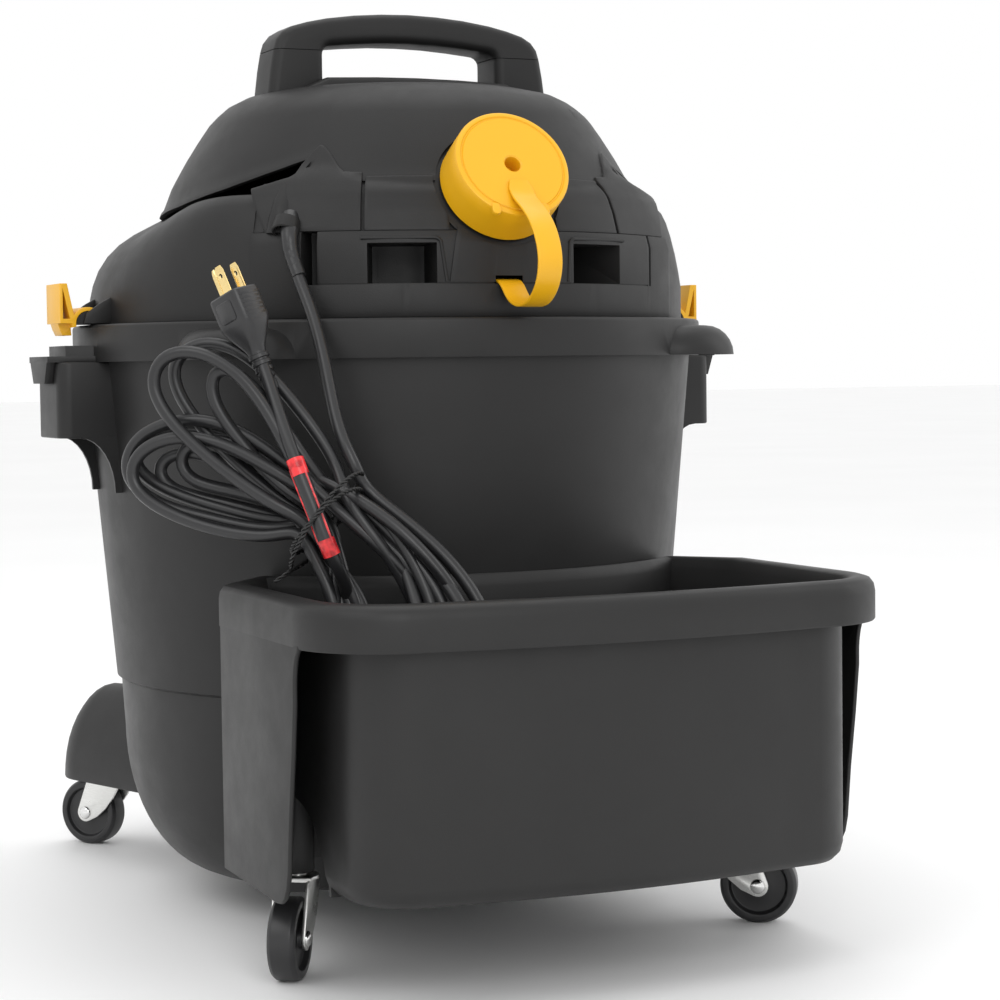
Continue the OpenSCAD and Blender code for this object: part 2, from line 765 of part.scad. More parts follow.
// Centrifugal fan: two discs with straight vanes between them
module impeller() {
    color("silver") on_drum() difference() {
        union() {
            translate([0, 0, 418]) cylinder(r = 80, h = 1.5);
            translate([0, 0, 434]) cylinder(r = 80, h = 1.5);
            translate([0, 0, 418]) cylinder(r = 12, h = 17.5);
            for (i = [0:8]) rotate([0, 0, 40 * i]) translate([30, -1, 419]) cube([48, 2, 15.5]);
        }
        translate([0, 0, 417]) cylinder(r = 4, h = 20);
        translate([0, 0, 417]) difference() {
            cylinder(r = 24, h = 2.6);
            cylinder(r = 12, h = 2.6);
        }
    }
}

module motor_stator() {
    color("#9a5a2c") on_drum() {
        difference() {
            union() {
                translate([0, 0, 458]) cylinder(r = 50, h = 56);
                for (s = [-1, 1], t = [-1, 1]) translate([s * 30 - 5, t * 30 - 5, 448])
                    cube([10, 10, 12]);
            }
            translate([0, 0, 457]) cylinder(r = 30, h = 48);
            translate([0, 0, 500]) cylinder(r = 10.05, h = 20);
        }
    }
}

// Shaft with the armature and commutator on it
module motor_shaft() {
    color("dimgray") on_drum() {
        translate([0, 0, 412]) cylinder(r = 4, h = 102);
        translate([0, 0, 462]) cylinder(r = 28, h = 30);
        translate([0, 0, 494]) cylinder(r = 12, h = 10);
        translate([0, 0, 412]) cylinder(r = 7, h = 6);
    }
}

module bearing_lower() { color("gainsboro") on_drum() ring(11, 4.04, 440, 448); }
module bearing_upper() { color("gainsboro") on_drum() ring(10, 4.04, 506, 513); }

// ---------------------------------------------------------------- float and filter

module filter_cage() {
    color("#1f1f20") on_drum() difference() {
        union() {
            ring(cage_r, cage_r - 3, cage_z0, deck_z);
            ring(cage_r + 16, cage_r - 3, deck_z - 3, deck_z);
            ring(cage_r, 26, 372, 375);
            translate([0, 0, cage_z0]) cylinder(r = cage_r, h = 3);
            translate([0, 0, cage_z0 - 12]) cylinder(r = 5, h = 12);
        }
        for (i = [0:5]) rotate([0, 0, 60 * i]) translate([cage_r - 8, -20, cage_z0 + 12])
            cube([16, 40, 118]);
    }
}

module float_ball() {
    color("#d8d4c8") on_drum() translate([0, 0, cage_z0 + 3.5 + 29]) sphere(r = 29);
}

// Pleated paper filter as a plain ring with its two end caps
module filter_cartridge() {
    color("#e9e4d6") on_drum() {
        ring(84, cage_r + 2, cage_z0 + 4, deck_z - 7);
        ring(88, cage_r + 1.5, cage_z0, cage_z0 + 8);
        ring(88, cage_r + 1.5, deck_z - 11, deck_z - 3.2);
    }
}

module filter_retainer() {
    color("#1f1f20") on_drum() difference() {
        union() {
            translate([0, 0, cage_z0 - 5.2]) cylinder(r = 82, h = 5);
            translate([0, 0, cage_z0 - 14]) cylinder(r = 14, h = 12);
            translate([-22, -3, cage_z0 - 14]) cube([44, 6, 10]);
        }
        translate([0, 0, cage_z0 - 11.9]) cylinder(r = 5.1, h = 20);
    }
}

// ---------------------------------------------------------------- cord

// Moves a shape drawn in the hank's plane (X along it, Y up, Z outward) to its place
module on_hank() { on_drum() at_angle(hank_a) rotate([90, 0, 0]) children(); }

// Tube swept along a route, as one closed polyhedron with a ring at each point
module tube(route, r, sides = 10) {
    n = len(route);
    dir = [for (i = [0:n - 1]) let (d = route[min(i + 1, n - 1)] - route[max(i - 1, 0)]) d / norm(d)];
    side = [for (d = dir) let (s = cross(d, [1, 0, 0])) s / norm(s)];
    up = [for (i = [0:n - 1]) cross(side[i], dir[i])];
    pts = [for (i = [0:n - 1], k = [0:sides - 1]) let (a = 360 * k / sides)
        route[i] + r * (cos(a) * side[i] + sin(a) * up[i])];
    walls = [for (i = [0:n - 2], k = [0:sides - 1]) let (m = (k + 1) % sides)
        [i * sides + k, i * sides + m, (i + 1) * sides + m, (i + 1) * sides + k]];
    polyhedron(pts, concat(walls, [[for (k = [sides - 1:-1:0]) k]],
        [[for (k = [0:sides - 1]) (n - 1) * sides + k]]));
}

module cord_strain_relief() {
    color("#141414") on_drum() translate([exit_at[0], exit_at[1], 0]) rotate_extrude()
        polygon([[0, tier_z - 6], [5, tier_z - 6], [6, tier_z - 4], [6, tier_z + 12], [0, tier_z + 12]]);
}

module cord_lead() { color("#101010") on_drum() tube(lead_route, cord_d / 2); }

// Hank of folded cord: wide loops on the left, a waist at the tie, and loops that hang into the bin
module cord_hank() {
    color("#101010") on_hank() translate([0, 0, hank_r0]) linear_extrude(hank_t) {
        hull() {
            translate([-14, 320]) circle(r = 58, $fn = hull_fn);
            translate([52, 282]) circle(r = 23, $fn = hull_fn);
        }
        hull() {
            translate([52, 282]) circle(r = 23, $fn = hull_fn);
            translate([88, 190]) circle(r = 44, $fn = hull_fn);
        }
    }
}

module cord_plug_lead() {
    color("#101010") on_hank() tube([for (p = tail_route) [p[0], p[1], hank_r0 + hank_t / 2]], cord_d / 2);
}

// Plug in its own frame: +Z towards the blades
module on_plug() {
    on_hank() translate([plug_at[0], plug_at[1], hank_r0 + hank_t / 2])
        rotate([0, 0, plug_lean]) rotate([-90, 0, 0]) children();
}

module cord_plug() {
    color("#181818") on_plug() {
        cylinder(r = 6, h = 6);
        translate([0, 0, 5.9]) rounded_block([18, 16, 8], 5);
        translate([0, 0, 13.8]) rounded_block([27, 23, plug_len - 13.8], 5);
    }
}

module plug_blades() {
    color("goldenrod") on_plug() {
        for (y = [-6.35, 6.35]) translate([-6.2, y - 0.75, plug_len]) cube([6.35, 1.5, 17.5]);
        translate([7.9, 0, plug_len]) cylinder(r = 2.4, h = 20);
    }
}

// Wire tie round the hank's waist
module cord_tie() {
    color("#202020") on_hank() translate([52, 282, hank_r0 + hank_t / 2]) rotate([0, 0, -33])
        rotate([0, 90, 0]) linear_extrude(4, center = true) difference() {
            square([hank_t + 4, 80], center = true);
            square([hank_t + 0.4, 76], center = true);
        }
}

// Label sleeve on the strand that leads to the plug
module cord_sleeve() {
    color("crimson") on_hank() translate([50, 288, hank_r0 + hank_t + 8.4]) rotate([0, 0, 28])
        rotate([90, 0, 0]) difference() {
            cylinder(r = 6, h = 66, center = true);
            cylinder(r = 4.1, h = 70, center = true);
        }
}

// ---------------------------------------------------------------- nodes

drum();
drum_collar();
tool_bin();
bin_screws();
foot_front_left();
foot_front_right();
hose_inlet();
inlet_deflector();
fork_front_left();
fork_front_right();
fork_rear_left();
fork_rear_right();
axle_front_left();
axle_front_right();
axle_rear_left();
axle_rear_right();
wheel_front_left();
wheel_front_right();
wheel_rear_left();
wheel_rear_right();
lid();
lid_gasket();
vent_housing();
motor_cover();
cover_screws();
handle_base();
handle_grip();
handle_screws();
blower_port();
port_cap();
cap_strap();
latch_left();
latch_right();
switch_bezel();
switch_rocker();
fan_housing();
impeller();
motor_stator();
motor_shaft();
bearing_upper();
bearing_lower();
filter_cage();
float_ball();
filter_cartridge();
filter_retainer();
cord_strain_relief();
cord_lead();
cord_hank();
cord_plug_lead();
cord_plug();
plug_blades();
cord_tie();
cord_sleeve();
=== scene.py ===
"""Shop vacuum with a rear tool bin: the looks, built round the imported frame.

Shapes are written in millimetres about the drum's axis, and to_row() moves them to the row's frame.
Angles about the drum's axis run from the rear (-Y) towards +X.
"""

import math

import bmesh
import bpy
import numpy as np
from mathutils import Matrix, Vector


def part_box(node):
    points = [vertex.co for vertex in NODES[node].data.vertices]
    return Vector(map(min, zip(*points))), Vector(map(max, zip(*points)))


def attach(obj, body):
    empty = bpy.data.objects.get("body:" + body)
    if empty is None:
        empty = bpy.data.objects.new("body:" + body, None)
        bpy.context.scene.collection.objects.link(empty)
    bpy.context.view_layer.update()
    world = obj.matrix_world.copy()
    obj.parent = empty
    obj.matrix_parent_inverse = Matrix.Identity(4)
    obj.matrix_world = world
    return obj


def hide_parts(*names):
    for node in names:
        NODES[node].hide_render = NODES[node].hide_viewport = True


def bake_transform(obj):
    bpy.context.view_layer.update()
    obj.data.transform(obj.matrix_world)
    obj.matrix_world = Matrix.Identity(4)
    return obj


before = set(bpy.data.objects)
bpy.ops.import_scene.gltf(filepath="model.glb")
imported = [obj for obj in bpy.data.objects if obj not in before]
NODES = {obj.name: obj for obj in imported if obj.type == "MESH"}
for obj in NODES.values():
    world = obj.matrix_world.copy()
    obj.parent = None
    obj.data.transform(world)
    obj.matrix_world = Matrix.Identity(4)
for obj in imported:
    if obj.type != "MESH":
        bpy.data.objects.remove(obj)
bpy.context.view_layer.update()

MM = 0.001
drum_low, drum_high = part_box("drum")
DRUM_Y = (drum_low[1] + drum_high[1]) / 2 / MM      # the drum's axis in the row's frame

# The head, in millimetres
COVER_Y = -30
VENT_HALF = 46.2
SEAM_Z = 423
TIER_Z = 456
GRIP_SEAM_Z = 585.5
HANDLE_AT = (0, -34, 0)
PORT_FACE = Vector((0, -217, 497.5))
PORT_TILT = math.radians(28)
PORT_AXIS = Vector((0, -math.cos(PORT_TILT), math.sin(PORT_TILT)))

# The tool bin, in millimetres
BIN_HALF = 163.5
BIN_CORNER = 40
BIN_FRONT = -378
BIN_BACK = -187
RIM_HALF = 189
RIM_CORNER = 60
RIM_FRONT = -390
RIM_Z = 239
BIN_Z = 64
WRAP_R = 206.3
ARCH_Y = -246
ARCH_R = 56

# The drum, its feet and the casters' stems, in millimetres
DRUM_TOP_R = 213.9
COLLAR_Z = 376.5
INLET_Z = 290
STEM_FRONT = (140, 234)
STEM_REAR = (150, -214)

# The cord, in millimetres
CORD_R = 4
HANK_ANGLE = math.radians(-40)
HANK_OUT = Vector((math.sin(HANK_ANGLE), -math.cos(HANK_ANGLE), 0))
HANK_ALONG = Vector((math.cos(HANK_ANGLE), math.sin(HANK_ANGLE), 0))

# The camera: its place in millimetres, its heading, pitch and roll in degrees, and its lens
CAMERA_AT = (-649.8, -1625.43, 369.35)
CAMERA_TURN = (24.364, 3.093, -0.738)
CAMERA_LENS = 88.2

SMOOTH_ANGLE = 32     # edges where a surface turns by more degrees than this stay sharp


def to_row(p):
    """A point in millimetres about the drum's axis, in the row's frame."""
    return Vector((p[0] * MM, (p[1] + DRUM_Y) * MM, p[2] * MM))


def polar(angle, r, z):
    """A point at an angle in degrees from the rear, towards +X."""
    a = math.radians(angle)
    return (r * math.sin(a), -r * math.cos(a), z)


def on_hank(along, z, out):
    """A point in the plane that the hank of cord lies in."""
    p = HANK_ALONG * along + HANK_OUT * out
    return Vector((p.x, p.y, z))


def mix(a, b, t):
    return a + (b - a) * t


def heading_at(line, i):
    """Unit direction of a line at its point i."""
    return (Vector(line[min(i + 1, len(line) - 1)]) - Vector(line[max(i - 1, 0)])).normalized()


def smooth_step(t):
    t = min(1.0, max(0.0, t))
    return t * t * (3 - 2 * t)


def round_angles(n):
    """The angles in radians of n even steps round a circle."""
    return [2 * math.pi * i / n for i in range(n)]


def arc(cx, cy, rx, ry, a0, a1, n=8):
    """Points of an elliptical arc, angles in degrees."""
    return [(cx + rx * math.cos(math.radians(mix(a0, a1, i / n))),
             cy + ry * math.sin(math.radians(mix(a0, a1, i / n)))) for i in range(n + 1)]


def b_spline(points, step=3.5):
    """Points about step apart along a cubic B-spline that the control points pull on."""
    p = [np.array(q, float) for q in points]
    p = [2 * p[0] - p[1]] + p + [2 * p[-1] - p[-2]]
    line = []
    for i in range(len(p) - 3):
        a, b, c, d = p[i:i + 4]
        count = max(2, int(np.linalg.norm(c - b) / step))
        for k in range(count):
            t = k / count
            line.append(((1 - t) ** 3 * a + (3 * t ** 3 - 6 * t ** 2 + 4) * b
                         + (-3 * t ** 3 + 3 * t ** 2 + 3 * t + 1) * c + t ** 3 * d) / 6)
    line.append((p[-3] + 4 * p[-2] + p[-1]) / 6)
    return line


def new_material(name):
    m = bpy.data.materials.new(name)
    m.use_nodes = True
    tree = m.node_tree
    return m, tree, tree.nodes["Principled BSDF"]


def node(tree, kind, **inputs):
    """A new node with the given values on its inputs."""
    n = tree.nodes.new(kind)
    for key, value in inputs.items():
        n.inputs[key].default_value = value
    return n


def noise(tree, scale, detail=3.0, roughness=0.55, stretch=None):
    """A noise in the object's own coordinates, stretched along them if asked."""
    where = node(tree, "ShaderNodeTexCoord").outputs["Object"]
    if stretch:
        mapping = node(tree, "ShaderNodeMapping", Scale=stretch)
        tree.links.new(where, mapping.inputs["Vector"])
        where = mapping.outputs["Vector"]
    n = node(tree, "ShaderNodeTexNoise", Scale=scale, Detail=detail, Roughness=roughness)
    tree.links.new(where, n.inputs["Vector"])
    return n.outputs["Fac"]


def ramp(tree, source, low, high, target, from_low=0.3, from_high=0.7):
    """Maps a noise to colours or greys between two values, which feed the target."""
    r = tree.nodes.new("ShaderNodeValToRGB")
    for stop, position, colour in zip(r.color_ramp.elements, (from_low, from_high), (low, high)):
        stop.position = position
        stop.color = (*colour, 1)
    tree.links.new(source, r.inputs["Fac"])
    tree.links.new(r.outputs["Color"], target)


def bumped(tree, shader, source, strength, distance):
    """Raises the surface where the noise is high, by distance in metres."""
    b = node(tree, "ShaderNodeBump", Strength=strength, Distance=distance)
    tree.links.new(source, b.inputs["Height"])
    tree.links.new(b.outputs["Normal"], shader.inputs["Normal"])


def scaled(colour, k):
    return tuple(min(1.0, c * k) for c in colour)


def plastic(name, colour, roughness, grain=1500, bump=0.12, spread=0.08, scuff=0.05, specular=0.5):
    """Moulded plastic: spark texture, slight flow marks in colour, and rubbed patches."""
    m, tree, shader = new_material(name)
    ramp(tree, noise(tree, 9, 4), scaled(colour, 1 - spread), scaled(colour, 1 + spread),
         shader.inputs["Base Color"])
    ramp(tree, noise(tree, 34, 5, 0.65), (roughness - scuff,) * 3, (roughness + scuff,) * 3,
         shader.inputs["Roughness"])
    bumped(tree, shader, noise(tree, grain, 2, 0.5), bump, 0.0004)
    shader.inputs["Specular IOR Level"].default_value = specular
    return m


def metal(name, colour, roughness, brush=220, bump=0.05):
    """Plated or drawn metal with faint streaks and uneven polish."""
    m, tree, shader = new_material(name)
    shader.inputs["Metallic"].default_value = 1.0
    streaks = noise(tree, brush, 3, 0.5, (1, 1, 9))
    ramp(tree, streaks, scaled(colour, 0.94), scaled(colour, 1.06), shader.inputs["Base Color"])
    ramp(tree, noise(tree, 60, 4), (roughness * 0.8,) * 3, (roughness * 1.3,) * 3, shader.inputs["Roughness"])
    bumped(tree, shader, streaks, bump, 0.0003)
    return m


BLACK = (0.014, 0.0138, 0.0138)
HEAD_PLASTIC = plastic("head_black", (0.0125, 0.0123, 0.0123), 0.47, 1500, 0.22, specular=0.32)
DRUM_PLASTIC = plastic("drum_black", BLACK, 0.44, 900, 0.08, specular=0.33)
BIN_PLASTIC = plastic("bin_black", (0.0145, 0.0143, 0.0142), 0.47, 1100, 0.12, specular=0.36)
DUCT_PLASTIC = plastic("duct_black", (0.012, 0.012, 0.0125), 0.38, 1300, 0.06, specular=0.35)
YELLOW = plastic("yellow", (0.78, 0.405, 0.006), 0.38, 900, 0.05, 0.025, 0.04)
SWITCH_PLASTIC = plastic("switch_black", (0.014, 0.014, 0.015), 0.22, 700, 0.02)
WHEEL_PLASTIC = plastic("wheel_black", (0.017, 0.017, 0.018), 0.38, 700, 0.08)
CORD_RUBBER = plastic("cord_black", (0.016, 0.016, 0.017), 0.33, 420, 0.10, 0.12, 0.06)
PLUG_RUBBER = plastic("plug_black", (0.018, 0.018, 0.019), 0.36, 900, 0.10)
SEAL_RUBBER = plastic("seal_black", (0.012, 0.012, 0.012), 0.6, 500, 0.2)
WIRE_TIE = plastic("tie_black", (0.012, 0.012, 0.012), 0.45, 900, 0.1)
FLOAT_PLASTIC = plastic("float_cream", (0.72, 0.69, 0.60), 0.4, 400, 0.05)
PAPER = plastic("filter_paper", (0.80, 0.77, 0.68), 0.85, 260, 0.5, 0.05)
ZINC = metal("zinc", (0.74, 0.74, 0.72), 0.30)
STEEL = metal("bright_steel", (0.78, 0.78, 0.77), 0.16)
CAST_ALUMINIUM = metal("fan_aluminium", (0.62, 0.63, 0.64), 0.34)
LAMINATION = metal("stator_steel", (0.38, 0.36, 0.34), 0.42, 500, 0.3)
BRASS = metal("brass", (0.86, 0.66, 0.30), 0.2, 300)


def sleeve_material():
    """Creased red film in two shades, without lettering."""
    m, tree, shader = new_material("sleeve_red")
    ramp(tree, noise(tree, 160, 2, 0.5), (0.42, 0.012, 0.016), (0.80, 0.035, 0.040),
         shader.inputs["Base Color"], 0.42, 0.56)
    bumped(tree, shader, noise(tree, 320, 3), 0.35, 0.0006)
    shader.inputs["Roughness"].default_value = 0.22
    return m


SLEEVE_RED = sleeve_material()


# ------------------------------------------------------------------ mesh tools

def linked(name, data):
    """A new object in the scene."""
    obj = bpy.data.objects.new(name, data)
    bpy.context.scene.collection.objects.link(obj)
    return obj


def finish_mesh(obj, angle=SMOOTH_ANGLE):
    """Smooth faces with sharp edges kept where the surface turns by more than angle."""
    mesh = obj.data
    for p in mesh.polygons:
        p.use_smooth = True
    mesh.set_sharp_from_angle(angle=math.radians(angle))
    return obj


def make(name, points, faces, material, angle=SMOOTH_ANGLE):
    """A mesh piece from points in millimetres about the drum's axis."""
    mesh = bpy.data.meshes.new(name)
    mesh.from_pydata([to_row(p) for p in points], [], faces)
    mesh.validate()
    obj = linked(name, mesh)
    mesh.materials.append(material)
    b = bmesh.new()
    b.from_mesh(mesh)
    bmesh.ops.remove_doubles(b, verts=b.verts, dist=1e-6)
    bmesh.ops.dissolve_degenerate(b, edges=b.edges, dist=1e-6)
    bmesh.ops.recalc_face_normals(b, faces=b.faces)
    b.to_mesh(mesh)
    b.free()
    return finish_mesh(obj, angle)


def applied(obj):
    """Bakes an object's modifiers into its mesh."""
    graph = bpy.context.evaluated_depsgraph_get()
    mesh = bpy.data.meshes.new_from_object(obj.evaluated_get(graph))
    old = obj.data
    obj.modifiers.clear()
    obj.data = mesh
    bpy.data.meshes.remove(old)
    return finish_mesh(obj)


def add_bevel(obj, width, segments, angle):
    m = obj.modifiers.new("bevel", "BEVEL")
    m.width = width * MM
    m.segments = segments
    m.limit_method = "ANGLE"
    m.angle_limit = math.radians(angle)
    m.use_clamp_overlap = True


def bevelled(obj, width, segments=2, angle=35):
    """Rounds the piece's sharp edges."""
    add_bevel(obj, width, segments, angle)
    return applied(obj)


def boolean(obj, cutters, operation="DIFFERENCE"):
    """Cuts the piece with each cutter, or joins them to it, and removes the cutters."""
    for c in cutters:
        m = obj.modifiers.new("cut", "BOOLEAN")
        m.operation = operation
        m.object = c
        m.solver = "EXACT"
    obj = applied(obj)
    for c in cutters:
        mesh = c.data
        bpy.data.objects.remove(c)
        bpy.data.meshes.remove(mesh)
    return obj


def join(name, objs, angle=SMOOTH_ANGLE):
    """One piece from several, which keep their materials."""
    with bpy.context.temp_override(active_object=objs[0], selected_editable_objects=objs, object=objs[0]):
        bpy.ops.object.join()
    objs[0].name = name
    objs[0].data.name = name
    return finish_mesh(objs[0], angle)


def grid_faces(rows, columns, closed_rows=False, closed_columns=False):
    """Quads of a grid of points stored row after row."""
    faces = []
    for i in range(rows if closed_rows else rows - 1):
        for k in range(columns if closed_columns else columns - 1):
            a, b = i * columns + k, i * columns + (k + 1) % columns
            j = (i + 1) % rows
            c, d = j * columns + (k + 1) % columns, j * columns + k
            faces.append((a, b, c, d))
    return faces


def lathe(name, profile, material, centre=(0, 0), segments=128):
    """A closed profile of (radius, height) turned about the upright axis."""
    points = [(centre[0] + r * math.cos(a), centre[1] + r * math.sin(a), z)
              for a in round_angles(segments) for r, z in profile]
    return make(name, points, grid_faces(segments, len(profile), True, True), material)


def turned(name, profile, material, origin, axis, segments=96, angle=SMOOTH_ANGLE):
    """A closed profile of (radius, distance along the axis) turned about any axis."""
    axis = Vector(axis).normalized()
    side = axis.orthogonal().normalized()
    other = axis.cross(side)
    points = [Vector(origin) + axis * h + (side * math.cos(a) + other * math.sin(a)) * r
              for a in round_angles(segments) for r, h in profile]
    return make(name, points, grid_faces(segments, len(profile), True, True), material, angle)


def loft(name, rings, material, angle=SMOOTH_ANGLE):
    """Closed rings of the same number of points, joined in order and capped."""
    points = [p for ring in rings for p in ring]
    n = len(rings[0])
    faces = grid_faces(len(rings), n, False, True)
    faces.append(tuple(reversed(range(n))))
    faces.append(tuple(range((len(rings) - 1) * n, len(rings) * n)))
    return make(name, points, faces, material, angle)


def extruded(name, outline, origin, x_axis, y_axis, depth, material):
    """A flat outline, given in two axes, pushed through depth along their normal, centred on it."""
    x_axis, y_axis = Vector(x_axis), Vector(y_axis)
    out = x_axis.cross(y_axis)
    rings = [[Vector(origin) + x_axis * u + y_axis * v + out * d for u, v in outline]
             for d in (-depth / 2, depth / 2)]
    return loft(name, rings, material)


def upright(name, outline, origin, depth, material):
    """An outline of (x, z) pushed through depth from front to back, centred on origin."""
    return extruded(name, outline, origin, (1, 0, 0), (0, 0, 1), depth, material)


def rectangle(x0, y0, x1, y1):
    return [(x0, y0), (x1, y0), (x1, y1), (x0, y1)]


def rounded_rectangle(w, h, r, n=4):
    """Outline of a rectangle with round corners."""
    points = []
    for sx, sy, a in ((1, 1, 0), (-1, 1, 90), (-1, -1, 180), (1, -1, 270)):
        points += arc(sx * (w / 2 - r), sy * (h / 2 - r), r, r, a, a + 90, n)
    return points


def wedge_block(name, a0, a1, profile, material, steps):
    """A closed profile of (radius, height) swept between two angles about the drum's axis."""
    return loft(name, [[polar(mix(a0, a1, i / steps), r, z) for r, z in profile] for i in range(steps + 1)],
                material)


def swept(name, line, section, material, up=(0, 0, 1)):
    """A closed section of (sideways, upward) points carried along a line."""
    rings = []
    for i, p in enumerate(line):
        ahead = heading_at(line, i)
        side = ahead.cross(Vector(up)).normalized()
        top = side.cross(ahead)
        rings.append([Vector(p) + side * u + top * v for u, v in section])
    return loft(name, rings, material, 50)


def wire(name, line, radius, material):
    """A round wire or cord along a line, as a curve of one open spline."""
    data = bpy.data.curves.new(name, "CURVE")
    data.dimensions = "3D"
    data.bevel_depth = radius * MM
    data.bevel_resolution = 4
    data.use_fill_caps = True
    spline = data.splines.new("POLY")
    spline.points.add(len(line) - 1)
    for point, p in zip(spline.points, line):
        point.co = (*to_row(p), 1)
    spline.use_smooth = True
    obj = linked(name, data)
    data.materials.append(material)
    return obj


def place(obj, body, slot, *replaced):
    """The piece rides on a body and stands for CAD nodes, which it hides; the slot is not used."""
    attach(obj, body)
    if replaced:
        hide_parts(*replaced)
    return obj


def paint(name, material, bevel, segments):
    """Gives a CAD node its material and, if asked, softened edges."""
    obj = NODES[name]
    obj.data.materials.clear()
    obj.data.materials.append(material)
    weld = obj.modifiers.new("weld", "WELD")
    weld.merge_threshold = 1e-5
    if bevel:
        flat = obj.modifiers.new("flat", "DECIMATE")
        flat.decimate_type = "DISSOLVE"
        flat.angle_limit = math.radians(0.6)
        add_bevel(obj, bevel, segments, 38)
    split = obj.modifiers.new("smooth", "NODES")
    split.node_group = smooth_group()
    return obj


def smooth_group():
    """Geometry nodes that shade smooth and keep edges sharp above SMOOTH_ANGLE."""
    name = "smooth_by_angle"
    if name in bpy.data.node_groups:
        return bpy.data.node_groups[name]
    group = bpy.data.node_groups.new(name, "GeometryNodeTree")
    for way in ("INPUT", "OUTPUT"):
        group.interface.new_socket("Geometry", in_out=way, socket_type="NodeSocketGeometry")
    begin = group.nodes.new("NodeGroupInput")
    end = group.nodes.new("NodeGroupOutput")
    face = group.nodes.new("GeometryNodeSetShadeSmooth")
    edge = group.nodes.new("GeometryNodeSetShadeSmooth")
    edge.domain = "EDGE"
    turn = group.nodes.new("GeometryNodeInputMeshEdgeAngle")
    compare = group.nodes.new("FunctionNodeCompare")
    compare.operation = "LESS_EQUAL"
    compare.inputs["B"].default_value = math.radians(SMOOTH_ANGLE)
    link = group.links.new
    link(begin.outputs[0], face.inputs["Geometry"])
    link(face.outputs["Geometry"], edge.inputs["Geometry"])
    link(turn.outputs["Unsigned Angle"], compare.inputs["A"])
    link(compare.outputs["Result"], edge.inputs["Shade Smooth"])
    link(edge.outputs["Geometry"], end.inputs[0])
    return group


# ------------------------------------------------------------------ camera, floor and light

def add_camera():
    """The camera stands behind and to the left of the vacuum, a little above half its height."""
    heading, pitch, roll = (math.radians(a) for a in CAMERA_TURN)
    forward = Vector((math.sin(heading), math.cos(heading), 0))
    right = Vector((forward.y, -forward.x, 0))
    up = Vector((0, 0, 1))
    ahead = forward * math.cos(pitch) - up * math.sin(pitch)
    over = up * math.cos(pitch) + forward * math.sin(pitch)
    across = right * math.cos(roll) + over * math.sin(roll)
    top = over * math.cos(roll) - right * math.sin(roll)
    data = bpy.data.cameras.new("camera")
    data.sensor_width = 36
    data.lens = CAMERA_LENS
    cam = linked("camera", data)
    turn = Matrix((across, top, -ahead)).transposed().to_4x4()
    cam.matrix_world = Matrix.Translation(to_row(CAMERA_AT)) @ turn
    bpy.context.scene.camera = cam


def add_area(name, place_at, look_at, size, energy):
    data = bpy.data.lights.new(name, "AREA")
    data.shape = "RECTANGLE"
    data.size, data.size_y = size
    data.energy = energy
    obj = linked(name, data)
    obj.location = place_at
    obj.rotation_mode = "QUATERNION"
    obj.rotation_quaternion = (Vector(look_at) - Vector(place_at)).to_track_quat("-Z", "Y")


def add_floor():
    bpy.ops.mesh.primitive_plane_add(size=60, location=(0, 0, 0))
    floor = bpy.context.object
    floor.name = "floor"
    m, tree, shader = new_material("floor_white")
    ramp(tree, noise(tree, 1.5, 2), (0.93,) * 3, (0.95,) * 3, shader.inputs["Base Color"])
    shader.inputs["Roughness"].default_value = 0.6
    shader.inputs["Specular IOR Level"].default_value = 0.2
    floor.data.materials.append(m)


def add_world():
    world = bpy.data.worlds.new("studio")
    world.use_nodes = True
    background = world.node_tree.nodes["Background"]
    background.inputs["Color"].default_value = (1, 1, 1, 1)
    background.inputs["Strength"].default_value = 1.0
    bpy.context.scene.world = world


bpy.context.scene.view_settings.view_transform = "Standard"
add_camera()
add_floor()
add_world()
add_area("key", (-2.2, -1.2, 2.4), (0, 0, 0.35), (1.6, 1.6), 14)
add_area("front", (-0.6, -2.4, 1.3), (0, 0, 0.35), (1.2, 1.2), 12)
add_area("rim_right", (2.4, -0.6, 1.3), (0, 0, 0.35), (0.8, 2.0), 7)
add_area("top", (0.2, 0.3, 2.8), (0, 0, 0.4), (1.8, 1.8), 12)


# ------------------------------------------------------------------ cord

LEAD = [(-132, -168, 450), (-132, -168.6, 443), (-130.4, -174, 431), (-127.5, -182.5, 416), (-125.5, -191, 402),
        (-125, -201, 386), (-125, -211, 368), (-125.5, -220.5, 352), (-125.8, -230, 337),
        (-124, -238.5, 323)]
TIE = Vector((50, 285))
TIE_ACROSS = Vector((0.866, 0.5))
LAYERS = (256.5, 265, 273.5)
PITCH = 8.3
PLUG_AT = (4, 381.5)
PLUG_DEPTH = 267
PLUG_LEAN = math.radians(22.6)
PLUG_TURN = math.radians(-26)     # about its own axis, so that its right side shows

# Upper lobes of the hank as (along, height), from the tie's left side round to its right side
UPPER_LOBES = [
    ((12, 280), (-26, 289), (-62, 296), (-68, 312), (-52, 322), (-20, 314), (16, 300)),
    ((14, 276), (-20, 284), (-58, 294), (-84, 310), (-78, 330), (-50, 338), (-18, 332), (14, 312)),
    ((20, 286), (-10, 296), (-44, 300), (-52, 318), (-36, 330), (-8, 326), (20, 308)),
    ((14, 270), (-22, 278), (-62, 286), (-86, 304), (-80, 326), (-60, 338), (-28, 342), (6, 326), (30, 306)),
    ((16, 290), (-12, 312), (-48, 348), (-56, 374), (-38, 388), (-14, 386), (10, 368), (34, 340), (54, 312)),
    ((22, 296), (-2, 322), (-26, 352), (-22, 374), (0, 366), (22, 336), (38, 312)),
    ((16, 268), (-20, 272), (-56, 284), (-78, 300), (-74, 320), (-48, 332), (-12, 326), (22, 306)),
    ((20, 288), (-8, 306), (-44, 334), (-62, 362), (-50, 382), (-24, 382), (2, 366), (22, 336), (36, 306))]
